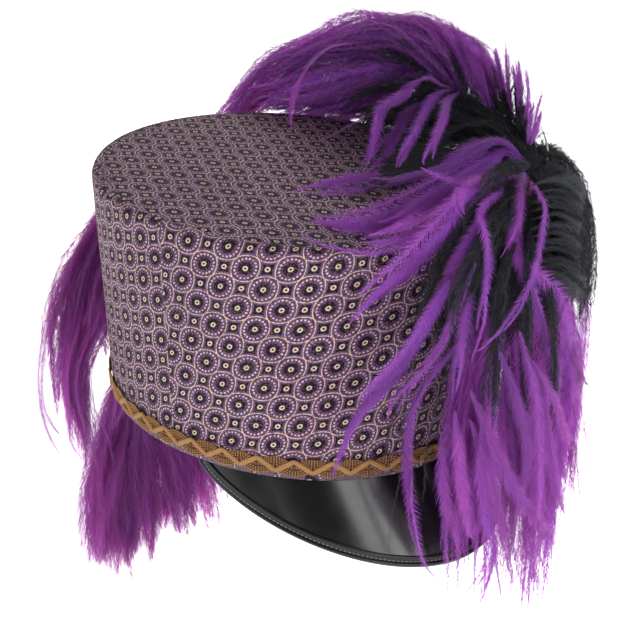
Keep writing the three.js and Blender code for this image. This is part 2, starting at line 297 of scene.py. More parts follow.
class Paint:
    """A material and its nodes."""

    def __init__(self, name, **constants):
        self.material = bpy.data.materials.new(name)
        self.material.use_nodes = True
        self.tree = self.material.node_tree
        self.skin = self.tree.nodes["Principled BSDF"]
        self.feed({key.replace("_", " ").title(): value for key, value in constants.items()})

    def node(self, kind, settings, sockets, output=0):
        """Adds a node, sets it up, feeds its sockets and gives one of its outputs."""
        node = self.tree.nodes.new(kind)
        for key, value in settings.items():
            if key == "stops":
                self.set_stops(node.color_ramp, value)
            else:
                setattr(node, key, value)
        self.join(node, sockets)
        return Wire(self, node.outputs[output])

    def set_stops(self, ramp, stops):
        """Sets a colour ramp to (place, colour) stops."""
        while len(ramp.elements) < len(stops):
            ramp.elements.new(1.0)
        for element, (place, rgb) in zip(ramp.elements, stops):
            element.position = place
            element.color = (*rgb, 1.0)

    def join(self, node, sockets):
        """Feeds a node's sockets from wires, colours or numbers."""
        for key, value in sockets.items():
            socket = node.inputs[key]
            if isinstance(value, Wire):
                self.tree.links.new(value.socket, socket)
            elif socket.type == "RGBA":
                socket.default_value = (*value[:3], 1.0)
            else:
                socket.default_value = value

    def feed(self, sockets):
        """Feeds the surface shader."""
        self.join(self.skin, sockets)

    def mark(self, name):
        """A number stored at the piece's vertices."""
        return self.node("ShaderNodeAttribute", {"attribute_name": name}, {}, "Fac")

    def spot(self):
        """Places on the piece in metres."""
        return self.node("ShaderNodeTexCoord", {}, {}, "Object")

    def cloud(self, scale, detail):
        """Soft noise from 0 to 1."""
        sockets = {"Vector": self.spot(), "Scale": scale, "Detail": detail}
        return self.node("ShaderNodeTexNoise", {}, sockets, "Fac")

    def mix(self, share, first, second, blend="MIX"):
        """A colour between two others."""
        return self.node(
            "ShaderNodeMix", {"data_type": "RGBA", "blend_type": blend}, {0: share, 6: first, 7: second}, 2
        )

    def bump(self, height, depth, strength=1.0):
        """A bump in the surface from a height between 0 and 1, depth metres tall."""
        relief = self.node("ShaderNodeBump", {}, {"Height": height, "Distance": depth, "Strength": strength})
        self.feed({"Normal": relief})


def shades(rgb, *scales):
    """Ramp stops from a colour times a scale for each channel."""
    last = len(scales) - 1
    return [(i / last, [min(1.0, c * k) for c, k in zip(rgb, scale)]) for i, scale in enumerate(scales)]


def scaled(rgb, scale):
    """A colour made lighter or darker."""
    return [scale * c for c in rgb]


# Brocade, drawn on a rectangular repeat of touching rounds, with radii as shares of a repeat

CLOTH_MAP = "weave"
THREAD = 0.00030
GRAIN_PITCH = 0.00055
WALL_CELL = (0.01726, 0.01275)
WALL_GRAIN = math.radians(40.2)
WALL_ORIGIN = (0.05058, 0.07781)
TOP_CELL = (0.01680, 0.01222)
TOP_GRAIN = math.radians(-85.5)
TOP_ORIGIN = (-0.08139, -0.00211)
SEAM_TURN = math.radians(-86)
OUTLINE_BEND = 1.6
DOTS_ROUND = 18
DOT_RADIUS = 0.350


def on_weave(flat, origin, grain, cell):
    """Cloth coordinates in repeats, for places on the flat cut."""
    east = flat[0] - origin[0]
    north = flat[1] - origin[1]
    along = east * math.cos(grain) + north * math.sin(grain)
    across = east * math.sin(grain) - north * math.cos(grain)
    return along / cell[0], across / cell[1]


def woven(paint, cloth, pitch):
    """Cloth coordinates stepped to crossings of threads, a random number for each, and the weave's ridges."""
    stepped = []
    ridges = []
    for axis, cell in zip("XY", WALL_CELL):
        threads = paint.node("ShaderNodeSeparateXYZ", {}, {0: cloth}, axis) * (cell / pitch)
        stepped.append((threads.use("FLOOR") + 0.5) * (pitch / cell))
        ridges.append(abs((threads * math.pi).use("SINE")))
    crossing = paint.node("ShaderNodeCombineXYZ", {}, {0: stepped[0], 1: stepped[1], 2: 0.0})
    chance = paint.node("ShaderNodeTexWhiteNoise", {"noise_dimensions": "2D"}, {"Vector": crossing}, "Value")
    return stepped, chance, ridges[0] * ridges[1]


def brocade_paint(colours):
    """Jacquard with cream outlines, rings of pearl dots and dark hearts, in threads with a metallic glint."""
    paint = Paint("brocade_cloth")
    paint.feed({"Specular IOR Level": 0.1})
    cloth = paint.node("ShaderNodeUVMap", {"uv_map": CLOTH_MAP}, {})
    (u, v), fleck, ridges = woven(paint, cloth, THREAD)
    _, grain, _ = woven(paint, cloth, GRAIN_PITCH)
    du, dv = (u + 0.5).use("FRACT") - 0.5, (v + 0.5).use("FRACT") - 0.5
    gu, gv = u.use("FRACT") - 0.5, v.use("FRACT") - 0.5
    radius = (du * du + dv * dv) ** 0.5
    gap_radius = (gu * gu + gv * gv) ** 0.5
    outline = (abs(du) ** OUTLINE_BEND + abs(dv) ** OUTLINE_BEND) ** (1 / OUTLINE_BEND)
    bearing = du.math("ARCTAN2", dv, du)
    petal = ((bearing * (DOTS_ROUND / math.tau)).use("FRACT") - 0.5) * (math.tau / DOTS_ROUND * DOT_RADIUS)
    off_ring = radius - DOT_RADIUS
    from_dot = (petal * petal + off_ring * off_ring) ** 0.5
    line = (1 - abs(outline - 0.5).rise(0.010, 0.023)) * (0.30 + 0.70 * grain.rise(0.10, 0.40))
    dots = (1 - from_dot.rise(0.026, 0.042)) * (0.35 + 0.65 * grain.rise(0.10, 0.45))
    lobes = radius + (bearing * 8).use("COSINE") * 0.012
    heart = 1 - lobes.rise(0.205, 0.245)
    diamond = outline.rise(0.575, 0.600)
    ring = 1 - abs(radius - 0.064).rise(0.015, 0.030)
    gap_ring = 1 - abs(gap_radius - 0.066).rise(0.015, 0.030)
    stops = shades(colours.cloth, (0.24, 0.20, 0.14), (0.75, 0.70, 0.50), (1.05, 1.05, 1.05), (2.6, 3.4, 1.9))
    ground = paint.node("ShaderNodeValToRGB", {"stops": stops}, {0: grain * 0.75 + fleck * 0.25})
    margin = outline.rise(0.515, 0.530) * (1 - outline.rise(0.575, 0.600))
    ground = paint.mix(margin * 0.7, ground, scaled(colours.cloth, 1.4))
    dark = heart.math("MAXIMUM", heart, diamond)
    shade = paint.mix(dark, ground, colours.cloth_dark)
    shade = paint.mix(dark * grain.rise(0.80, 0.95) * 0.8, shade, (0.130, 0.105, 0.060))
    shade = paint.mix(dots, shade, colours.cloth_pearl)
    cream = line.math("MAXIMUM", line.math("MAXIMUM", line, ring), gap_ring)
    shade = paint.mix(cream * (0.6 + 0.4 * fleck.rise(0.05, 0.55)), shade, colours.cloth_cream)
    wear = paint.cloud(14.0, 3.0)
    shade = paint.mix(wear.rise(0.35, 0.75) * 0.25, shade, (0.55, 0.45, 0.60), "MULTIPLY")
    glint = fleck.rise(0.92, 0.97)
    figure = cream.math("MAXIMUM", cream, dots)
    paint.feed({
        "Base Color": shade,
        "Metallic": (figure * 0.35).math("MAXIMUM", figure * 0.35, glint * 0.7),
        "Roughness": 0.65 - 0.25 * glint - 0.12 * figure,
    })
    paint.bump(ridges * 0.5 + figure * 0.5, 0.00018, 0.7)
    return paint.material


def lining_paint(colours):
    """Plain dark cloth inside the wall."""
    paint = Paint("wall_lining", roughness=0.9)
    weave = paint.cloud(900.0, 1.0)
    paint.feed({"Base Color": paint.mix(weave, colours.lining, scaled(colours.lining, 1.8))})
    paint.bump(weave, 0.0002, 0.5)
    return paint.material


# Crown

SPIN_RADIUS = 0.1
WALL_STEPS = 240
WALL_ROWS = 20
ROLL_STEPS = 6
TOP_STEPS = 160
TOP_RINGS = 24
CLOTH_RIPPLE = 0.00035
WALL_RIPPLE_SIZE = 0.03
TOP_RIPPLE_SIZE = 0.025
TOP_GAP = 0.00005
TOP_EDGE_SHARE = 0.7
TOP_UNDER_SHARE = 0.99


def spun_section(section, steps, start):
    """A ring or disc spun from (radius, height, run along the cloth) points, which keeps the run."""
    bm = bmesh.new()
    run = bm.verts.layers.float.new("run")
    verts = []
    for radius, height, at in section:
        vert = bm.verts.new((radius * math.sin(start), -radius * math.cos(start), height))
        vert[run] = at
        verts.append(vert)
    edges = [bm.edges.new(pair) for pair in zip(verts, verts[1:])]
    bmesh.ops.spin(
        bm, geom=verts + edges, axis=(0, 0, 1), cent=(0, 0, 0), angle=math.tau, steps=steps, use_merge=True
    )
    bmesh.ops.remove_doubles(bm, verts=bm.verts, dist=1e-6)
    bmesh.ops.recalc_face_normals(bm, faces=bm.faces)
    return bm, run


def ripple(place, size):
    """Slight unevenness of stretched cloth."""
    return CLOTH_RIPPLE * noise.noise(Vector(place) / size)


def wall_section(sizes):
    """The wall's section from the foot up the outside, over the roll, and down inside to the foot again."""
    roll = sizes.edge_round
    inner = roll - sizes.wall
    base = sizes.height - roll
    rows = [(0.0, base * i / WALL_ROWS) for i in range(WALL_ROWS + 1)]
    quarter = [math.pi / 2 * i / ROLL_STEPS for i in range(1, ROLL_STEPS + 1)]
    rows += [(roll * math.cos(t) - roll, base + roll * math.sin(t)) for t in quarter]
    rows += [(inner * math.cos(t) - roll, base + inner * math.sin(t)) for t in reversed(quarter)]
    rows += [(-sizes.wall, base), (-sizes.wall, 0.0), (0.0, 0.0)]
    run = 0.0
    section = []
    for before, (out, height) in zip([rows[0], *rows], rows):
        run += math.dist(before, (out, height))
        section.append((SPIN_RADIUS + out, height, run))
    return section


def dress_wall(bm, run, form, sizes):
    """Bends the spun ring to the flared oval and lays the cloth's cut on it."""
    slant = math.hypot(form.height, form.top.mean() - form.rim.mean())
    rim = form.rim_run(0.0, math.tau)
    top = rim + (form.top - form.rim).mean() * math.tau
    cone = slant * rim / (top - rim)
    inside_run = slant + math.pi / 2 * sizes.edge_round
    weave = bm.loops.layers.uv.new(CLOTH_MAP)
    turns = {vert: math.atan2(vert.co.x, -vert.co.y) for vert in bm.verts}
    for face in bm.faces:
        middle = face.calc_center_median()
        start = SEAM_TURN
        if (math.atan2(middle.x, -middle.y) - start) % math.tau > math.pi:
            start += math.pi
        for loop in face.loops:
            past = (turns[loop.vert] - start + 1) % math.tau - 1
            swing = float(form.rim_run(SEAM_TURN, SEAM_TURN + past)) / cone
            reach = cone + loop.vert[run]
            flat = (reach * math.sin(swing), reach * math.cos(swing) - cone)
            loop[weave].uv = on_weave(flat, WALL_ORIGIN, WALL_GRAIN, WALL_CELL)
        face.material_index = int(min(loop.vert[run] for loop in face.loops) > inside_run)
    for vert in bm.verts:
        out = math.hypot(vert.co.x, vert.co.y) - SPIN_RADIUS
        if out > -sizes.wall / 2:
            out += ripple(vert.co, WALL_RIPPLE_SIZE)
        vert.co = form.at(turns[vert], out, vert.co.z)


def top_section(sizes):
    """The top's section from the middle to the edge, and back underneath."""
    rows = [(i / TOP_RINGS, sizes.top_dome * (1 - (i / TOP_RINGS) ** 2)) for i in range(TOP_RINGS + 1)]
    rows += [(1.0, -TOP_EDGE_SHARE * sizes.wall), (TOP_UNDER_SHARE, -sizes.wall), (0.0, -sizes.wall)]
    return [(radius * SPIN_RADIUS, sizes.height + rise, rise) for radius, rise in rows]


def dress_top(bm, form, sizes):
    """Scales the spun disc to the oval inside the roll and lays the cloth flat on it."""
    weave = bm.loops.layers.uv.new(CLOTH_MAP)
    half = form.top - sizes.edge_round - TOP_GAP
    for vert in bm.verts:
        vert.co.x *= half[0] / SPIN_RADIUS
        vert.co.y *= half[1] / SPIN_RADIUS
        if vert.co.z > sizes.height - sizes.wall / 2:
            vert.co.z += ripple(vert.co, TOP_RIPPLE_SIZE)
    for face in bm.faces:
        for loop in face.loops:
            loop[weave].uv = on_weave(loop.vert.co, TOP_ORIGIN, TOP_GRAIN, TOP_CELL)


# Gimp braid

BRAID_PHASE = math.radians(-57.9)
BAND_WIDTH = 0.0025
BAND_STEPS = 16
# The band as (share of the width aside, share of the braid's depth)
BAND_SECTION = (
    (-0.5, 0.30), (-0.44, 0.72), (-0.33, 0.86), (-0.20, 0.62), (-0.08, 0.88),
    (0.08, 0.88), (0.20, 0.62), (0.33, 0.86), (0.44, 0.72), (0.5, 0.30),
)
WAVE_TOP = 0.84
WAVE_DROP = 0.62
WAVE_SOFT = 0.11
# Arcs of a fan as (share of its reach, beads, bead radius, stretch outward)
FAN_ROWS = (
    (1.00, 18, 0.00052, 1.0), (0.82, 14, 0.00047, 1.4), (0.62, 10, 0.00044, 1.6), (0.40, 6, 0.00040, 1.3),
)
FAN_HALF_WIDTH = 0.0080
FAN_RISE = 0.0060
FAN_BASE = 0.37
FAN_START = math.radians(8)
FAN_SWEEP = math.radians(164)
BEAD_SIDES = 6
BEAD_SHOULDER = 0.72
BEAD_FOOT = 0.25
BEAD_RISE = 0.50
BACK_SWING = np.radians(np.linspace(-4, 184, 15))
BACK_REACH = 1.02
# The shells lie this deep, so the braid's painted shade colours them fully
BACK_DEPTH = 0.22
BRAID_GAP = 0.0003
BRAID_TURNS = 2000


def braid_paint(colours):
    """Satin gold cord, with a painted red-brown shade in its depths."""
    paint = Paint("gimp_cord")
    # Painted shade: the lower a part lies on the braid, the more it turns to the dark gold
    depth = paint.mark("depth")
    worn = paint.cloud(260.0, 3.0)
    fine = paint.cloud(2600.0, 1.0)
    gold = paint.mix(worn.rise(0.3, 0.7) * 0.5, colours.gold, (0.34, 0.15, 0.05))
    gold = paint.mix(fine.rise(0.45, 0.75) * 0.30, gold, (0.66, 0.46, 0.20))
    paint.feed({
        "Base Color": paint.mix(depth.rise(0.25, 0.62), colours.gold_painted_shade, gold),
        "Metallic": 0.15 + 0.20 * depth,
        "Roughness": 0.50 + 0.25 * fine,
    })
    paint.bump(fine, 0.00012, 0.6)
    return paint.material


def rounded(fold):
    """A zigzag's point rounded off."""
    return fold ** 2 / (2 * WAVE_SOFT) + WAVE_SOFT / 2


def braid_wave(share):
    """Height of the zigzag's middle as a share of the braid, with its peaks at whole waves."""
    fold = np.abs((share + 0.5) % 1 - 0.5) * 2
    eased = np.where(fold < WAVE_SOFT, rounded(fold), fold)
    eased = np.where(fold > 1 - WAVE_SOFT, 1 - rounded(1 - fold), eased)
    return WAVE_TOP - WAVE_DROP * eased


def band_strip(sizes, wave):
    """The zigzag band of the whole braid as (along, up, depth share) rows with quads."""
    count = sizes.braid_waves * BAND_STEPS
    share = np.arange(count) / BAND_STEPS
    middle = np.stack([share * wave, braid_wave(share) * sizes.braid_height], axis=-1)
    ahead = np.roll(middle, -1, axis=0) - np.roll(middle, 1, axis=0)
    ahead[0, 0] = ahead[-1, 0] = ahead[1, 0]
    normal = unit(np.stack([-ahead[:, 1], ahead[:, 0]], axis=-1))
    places = []
    for aside, depth in BAND_SECTION:
        spot = middle + normal * aside * BAND_WIDTH
        places.append(np.column_stack([spot, np.full(count, depth)]))
    places = np.stack(places, axis=1)
    rows, cols = places.shape[:2]
    a = np.arange(rows)[:, None] * cols + np.arange(cols - 1)
    b = np.roll(np.arange(rows), -1)[:, None] * cols + np.arange(cols - 1)
    quads = np.stack([a, b, b + 1, a + 1], axis=-1).reshape(-1, 4)
    triangles = np.concatenate([quads[:, [0, 1, 2]], quads[:, [0, 2, 3]]])
    return places.reshape(-1, 3), triangles


def bead_shape():
    """A low dome with a few sides: places on a unit disc with a height, and triangles."""
    around = np.arange(BEAD_SIDES) * math.tau / BEAD_SIDES
    ring = np.stack([np.cos(around), np.sin(around), np.zeros(BEAD_SIDES)], axis=-1)
    shoulder = ring * (BEAD_SHOULDER, BEAD_SHOULDER, 1) + (0, 0, BEAD_SHOULDER)
    places = np.concatenate([ring, shoulder, [[0, 0, 1]]])
    k = np.arange(BEAD_SIDES)
    n = (k + 1) % BEAD_SIDES
    sides = np.concatenate([
        np.stack([k, n, n + BEAD_SIDES], -1),
        np.stack([k, n + BEAD_SIDES, k + BEAD_SIDES], -1),
        np.stack([k + BEAD_SIDES, n + BEAD_SIDES, np.full(BEAD_SIDES, 2 * BEAD_SIDES)], -1),
    ])
    return places, sides


def fan_bases(sizes, wave):
    """For each fan 1 if it opens up or -1 if down, and the middle of its base."""
    for fan in range(2 * sizes.braid_waves):
        upward = 1 if fan % 2 else -1
        yield upward, np.array([fan * wave / 2, sizes.braid_height * (0.5 - upward * (0.5 - FAN_BASE))])


def fan_rays(swing, upward):
    """From a fan's base out to its rim."""
    return np.stack([np.cos(swing) * FAN_HALF_WIDTH, upward * np.sin(swing) * FAN_RISE], axis=-1)


def fan_beads(sizes, wave):
    """Arcs of corded beads that fill the bays of the zigzag, up in its valleys and down under its peaks."""
    shape, sides = bead_shape()
    places = []
    faces = []
    offset = 0
    for upward, middle in fan_bases(sizes, wave):
        rows = FAN_ROWS if upward > 0 else FAN_ROWS[:-1]
        for reach, count, radius, stretch in rows:
            for step in range(count):
                ray = fan_rays(FAN_START + FAN_SWEEP * (step + 0.5) / count, upward) * reach
                out = ray / np.linalg.norm(ray)
                side = np.array([-out[1], out[0]])
                flat = shape[:, :1] * out * radius * stretch + shape[:, 1:2] * side * radius
                spots = np.column_stack([middle + ray + flat, BEAD_FOOT + BEAD_RISE * shape[:, 2]])
                places.append(spots)
                faces.append(sides + offset)
                offset += len(shape)
    return np.concatenate(places), np.concatenate(faces)


def fan_backs(sizes, wave):
    """A shell behind each fan of beads, dark with the painted shade that shows between the beads."""
    places = []
    faces = []
    count = len(BACK_SWING) + 1
    for fan, (upward, middle) in enumerate(fan_bases(sizes, wave)):
        rim = fan_rays(BACK_SWING, upward) * BACK_REACH
        flat = np.concatenate([middle[None], middle + rim])
        places.append(np.column_stack([flat, np.full(count, BACK_DEPTH)]))
        k = np.arange(1, count - 1)
        turn = np.stack([np.zeros_like(k), k, k + 1], -1) + fan * count
        faces.append(turn if upward > 0 else turn[:, ::-1])
    return np.concatenate(places), np.concatenate(faces)


def braid_mesh(sizes, form):
    """The whole braid, wound round the foot of the wall."""
    whole = form.rim_run(0.0, math.tau)
    wave = whole / sizes.braid_waves
    parts = [band_strip(sizes, wave), fan_beads(sizes, wave), fan_backs(sizes, wave)]
    offsets = np.cumsum([0] + [len(places) for places, _ in parts])
    spots = np.concatenate([places for places, _ in parts])
    faces = np.concatenate([part[1] + offset for part, offset in zip(parts, offsets)])
    turns = np.linspace(BRAID_PHASE - 1, BRAID_PHASE + math.tau + 1, BRAID_TURNS)
    run = form.rim_run(BRAID_PHASE, turns)
    turn = np.interp(spots[:, 0], run, turns)
    height = sizes.braid_foot + spots[:, 1]
    out = BRAID_GAP + spots[:, 2] * (sizes.braid_thick - BRAID_GAP)
    # The depth share is also kept as a mark, from which the braid's painted shade is made
    return mesh_from_arrays("gimp_braid", form.at(turn, out, height), faces, {"depth": spots[:, 2]})


# Peak

VISOR_ROOT_OUT = -0.0038
VISOR_ROOT_DROP = 0.0013
VISOR_ROUNDING = 0.57
VISOR_COLUMNS = 144
VISOR_LINES = 40
VISOR_COLLAR_SHARE = 0.15
VISOR_TUCK = 0.97
EDGE_STEP = 1e-3
BINDING_SPAN = 0.995
BINDING_STEPS = 220
BINDING_BUNCH = 0.8
# The binding as (mm in from the peak's edge, mm up from its middle), drawn at this width and thickness
BINDING_DRAWN = (0.005, 0.0044)
BINDING_SECTION = (
    (5.0, 0.9), (5.0, 1.6), (4.7, 1.95), (3.9, 2.1), (3.1, 1.95), (2.8, 1.55), (2.1, 1.45),
    (1.5, 1.6), (1.2, 1.95), (0.6, 2.2), (0.0, 1.9), (-0.45, 1.2), (-0.6, 0.0), (-0.45, -1.2),
    (0.0, -1.9), (0.6, -2.2), (2.5, -2.1), (4.7, -1.8), (5.0, -1.55), (5.0, -0.9),
)
STITCH_IN = 0.0021
STITCH_RISE = 0.00160
STITCH_PITCH = 0.0022
STITCH_LENGTH = 0.00150
STITCH_RADIUS = 0.00028
STITCH_BOW = 0.0002
STITCH_SPAN = 0.985
STITCH_FINE = 4000
STITCH_SIDES = 6
# Rings of a stitch as (share of its length from the middle, share of its radius)
STITCH_RINGS = ((-0.5, 0.35), (-0.36, 1.0), (0.36, 1.0), (0.5, 0.35))


def visor_reach(sizes, turn):
    """Length of the peak at a turn."""
    swell = np.cos(np.clip(np.pi / 2 * turn / sizes.visor_half_turn, -np.pi / 2, np.pi / 2))
    most = sizes.visor_reach - sizes.visor_end_reach
    return sizes.visor_end_reach + most * np.maximum(swell, 0) ** VISOR_ROUNDING


def visor_slope(sizes):
    """The direction down the peak."""
    return np.array([0, -math.cos(sizes.visor_droop), -math.sin(sizes.visor_droop)])


def visor_at(sizes, form, along, across):
    """A place on the peak's middle: along from -1 to 1, across from the root to 1 or metres up the collar."""
    turn = sizes.visor_half_turn * np.sin(np.pi / 2 * along)
    root = form.at(turn, VISOR_ROOT_OUT, 0.0) - (0, 0, VISOR_ROOT_DROP)
    down = np.maximum(across, 0) * visor_reach(sizes, turn)
    up = np.maximum(-across, 0)
    return root + down[..., None] * visor_slope(sizes) + up[..., None] * np.array([0, 0, 1.0])


def leather_paint(colours, name, roughness, grain):
    """Black patent leather: a clear gloss over fine grain, with faint smears."""
    paint = Paint(name, coat_weight=0.1, coat_roughness=0.12)
    paint.feed({"Specular IOR Level": 0.38})
    smear = paint.cloud(30.0, 4.0)
    pores = paint.cloud(1400.0, 2.0)
    paint.feed({
        "Base Color": paint.mix(smear.rise(0.4, 0.8), colours.leather, scaled(colours.leather, 2.2)),
        "Roughness": roughness + 0.12 * smear.rise(0.4, 0.8),
    })
    paint.bump(pores * grain + smear * (1 - grain), 0.0004, 0.10)
    return paint.material


def visor_mesh(sizes, form):
    """The peak's sheet with its collar, still without thickness."""
    bm = bmesh.new()
    bmesh.ops.create_grid(bm, x_segments=VISOR_COLUMNS, y_segments=VISOR_LINES, size=1.0)
    for vert in bm.verts:
        low = (vert.co.y + 1) / 2
        if low < VISOR_COLLAR_SHARE:
            across = -sizes.visor_collar * (1 - low / VISOR_COLLAR_SHARE)
        else:
            across = (low - VISOR_COLLAR_SHARE) / (1 - VISOR_COLLAR_SHARE) * VISOR_TUCK
        vert.co = visor_at(sizes, form, np.array(vert.co.x), np.array(across))
    bmesh.ops.recalc_face_normals(bm, faces=bm.faces)
    return mesh_of(bm, "peak_leather")


def edge_frames(sizes, form, along):
    """Places on the peak's edge, with the directions along, inward and upward there."""
    edge = visor_at(sizes, form, along, np.ones_like(along))
    ahead = visor_at(sizes, form, along + EDGE_STEP, np.ones_like(along))
    behind = visor_at(sizes, form, along - EDGE_STEP, np.ones_like(along))
    tangent = unit(ahead - behind)
    slope = visor_slope(sizes)
    normal = unit(np.cross(slope, tangent))
    normal *= np.sign(normal[:, 2:3])
    inward = unit(np.cross(normal, tangent))
    inward *= -np.sign(np.sum(inward * slope, axis=-1, keepdims=True))
    return edge, tangent, inward, normal


def binding_mesh(sizes, form):
    """The binding: a rounded bead at the nose, a groove and a stitched band, folded over the peak's edge."""
    bm = bmesh.new()
    around = len(BINDING_SECTION)
    bmesh.ops.create_grid(bm, x_segments=BINDING_STEPS, y_segments=around - 1, size=1.0)
    drawn_width, drawn_thick = BINDING_DRAWN
    scale = (sizes.binding_width * MM / drawn_width, sizes.binding_thick * MM / drawn_thick)
    spread = np.linspace(-1, 1, BINDING_STEPS + 1)
    bunched = np.sin(np.pi / 2 * spread) * BINDING_BUNCH + spread * (1 - BINDING_BUNCH)
    frames = edge_frames(sizes, form, BINDING_SPAN * bunched)
    for vert in bm.verts:
        column = round((vert.co.x + 1) / 2 * BINDING_STEPS)
        row = round((vert.co.y + 1) / 2 * (around - 1))
        edge, _, inward, normal = (part[column] for part in frames)
        across, rise = BINDING_SECTION[row]
        vert.co = edge + inward * across * scale[0] + normal * rise * scale[1]
    ends = [edge for edge in bm.edges if edge.is_boundary]
    bmesh.ops.holes_fill(bm, edges=ends, sides=0)
    bmesh.ops.recalc_face_normals(bm, faces=bm.faces)
    return mesh_of(bm, "peak_binding")


def stitch_mesh(sizes, form):
    """A row of small stitches along the binding's band."""
    fine = np.linspace(-STITCH_SPAN, STITCH_SPAN, STITCH_FINE)
    edge = visor_at(sizes, form, fine, np.ones_like(fine))
    run = np.concatenate([[0], np.cumsum(np.linalg.norm(np.diff(edge, axis=0), axis=1))])
    along = np.interp(np.arange(STITCH_PITCH, run[-1], STITCH_PITCH), run, fine)
    edge, tangent, inward, normal = edge_frames(sizes, form, along)
    middle = edge + inward * STITCH_IN + normal * STITCH_RISE
    places = []
    for share, girth in STITCH_RINGS:
        for swing in np.arange(STITCH_SIDES) * math.tau / STITCH_SIDES:
            aside = inward * (math.cos(swing) * girth * STITCH_RADIUS)
            bow = normal * (math.sin(swing) * girth * STITCH_RADIUS - abs(share) * STITCH_BOW)
            places.append(middle + tangent * share * STITCH_LENGTH + aside + bow)
    places = np.stack(places, axis=1)
    triangles = tube_faces(len(STITCH_RINGS), STITCH_SIDES)
    faces = triangles[None] + (np.arange(len(middle)) * places.shape[1])[:, None, None]
    return mesh_from_arrays("binding_stitches", places.reshape(-1, 3), faces.reshape(-1, 3))


def thread_paint(colours):
    """Waxed black thread."""
    paint = Paint("binding_thread", roughness=0.45)
    twist = paint.cloud(2500.0, 1.0)
    paint.feed({"Base Color": paint.mix(twist, colours.thread, scaled(colours.thread, 2.5))})
    paint.bump(twist, 0.0001, 0.5)
    return paint.material


# Plume: locks and strands are rows of places as turn in degrees, out and height in mm

PLUME_TURN = 18
HEAD_OUT = 13
FALL_HEAD = 133
BLACK_HEAD = 139.3
# Locks as (shoulder, bend, tip, width), which start at the plume's head
FALL_LOCKS = (
    ((8, 13, 112), (-6, 27, 50), (-9, 42, -34), 22),
    ((12, 14, 108), (2, 31, 40), (-3, 46, -50), 24),
    ((18, 15, 106), (15, 35, 32), (4, 50, -70), 26),
    ((24, 15, 106), (26, 37, 32), (12, 50, -80), 26),
    ((29, 14, 104), (35, 38, 36), (20, 51, -56), 24),
    ((33, 14, 104), (39, 35, 60), (30, 52, -6), 16),
)
BLACK_FALL_LOCKS = (
    ((1, 22, 124), (-6, 20, 92), (-9, 18, 56), 20),
    ((9, 28, 128), (5, 30, 100), (3, 30, 66), 24),
    ((18, 32, 130), (20, 38, 104), (21, 40, 70), 24),
    ((26, 24, 134), (31, 31, 110), (34, 41, 72), 20),
    ((36, 18, 140), (40, 29, 116), (41, 46, 50), 20),
    ((36, 22, 130), (50, 36, 100), (55, 43, 50), 28),
    ((46, 16, 138), (61, 30, 114), (68, 36, 70), 26),
)
BLACK_TOP_LOCKS = (
    ((50, 0, 148), (80, -10, 145), (112, -6, 131), 24),
    ((48, -16, 142), (72, -40, 130), (112, -44, 125), 18),
    ((26, -26, 141), (18, -62, 131), (-16, -74, 125), 18),
)
CREST_SHAFT = (
    (18, 14, 152), (38, -3, 160), (54, -17, 163), (74, -16, 165), (98, -4, 160), (122, 6, 147),
    (142, 13, 124), (160, 15, 88), (174, 16, 44), (184, 17, -2), (192, 17, -46),
)
# Locks on the shaft start with their share of the way along it
CREST_SWEEP_LOCKS = (
    (0.12, (57, -7, 172), (73, -6, 182), (91, -19, 184), 16),
    (0.17, (65, -17, 174), (83, -16, 183), (121, -8, 168), 20),
    (0.195, (72, -17, 174), (92, -15, 180), (131, 2, 154), 22),
    (0.22, (80, -16, 174), (100, -14, 178), (140, 11, 140), 24),
    (0.28, (96, -11, 170), (123, 9, 160), (152, 23, 108), 26),
    (0.36, (118, 3, 156), (137, 17, 142), (161, 24, 80), 26),
)
CREST_INNER_LOCKS = (
    (0.31, (104, -10, 157), (124, -12, 146), (148, -4, 126), 22),
    (0.29, (100, -14, 146), (122, -14, 132), (146, -6, 124), 22),
    (0.25, (90, -2, 150), (104, 0, 136), (122, 8, 106), 30),
    (0.33, (112, 8, 142), (126, 12, 124), (142, 14, 88), 30),
    (0.32, (112, 4, 142), (128, 3, 131), (147, 3, 122), 22),
    (0.30, (106, 5, 138), (117, 5, 128), (130, 6, 118), 22),
)
CREST_TAIL_LOCKS = (
    (0.64, (158, 26, 62), (147, 34, 36), (144, 28, -30), 32),
    (0.76, (170, 30, 10), (161, 28, -54), (157, 4, -147), 34),
    (0.92, (175, 27, -57), (168, 24, -96), (166, 8, -145), 34),
    (0.94, (180, 28, -64), (177, 26, -109), (181, 8, -160), 34),
    (0.93, (183, 28, -64), (188, 27, -108), (196, 14, -158), 34),
    (0.93, (186, 28, -58), (194, 27, -94), (204, 20, -144), 32),
)
CREST_CURL_LOCKS = (
    (0.78, (192, 29, 12), (203, 33, -17), (201, 26, -80), 20),
    (0.69, (188, 28, 48), (206, 37, 14), (218, 34, -40), 16),
    (0.62, (184, 24, 69), (199, 31, 36), (208, 30, -7), 24),
    (0.72, (185, 24, 49), (195, 26, 20), (196, 24, -10), 18),
)
# Barbs that clothe the shaft from the sweep down to the tail
CREST_SHAFT_COVER = (
    (9, 18, 2.8, (112, 2, 152), (122, 6, 147), (142, 13, 124), (160, 15, 88), (174, 16, 44), (184, 17, -2)),
    (8, 16, 2.8, (160, 15, 88), (174, 16, 44), (184, 17, -2), (192, 17, -46), (194, 20, -70)),
)
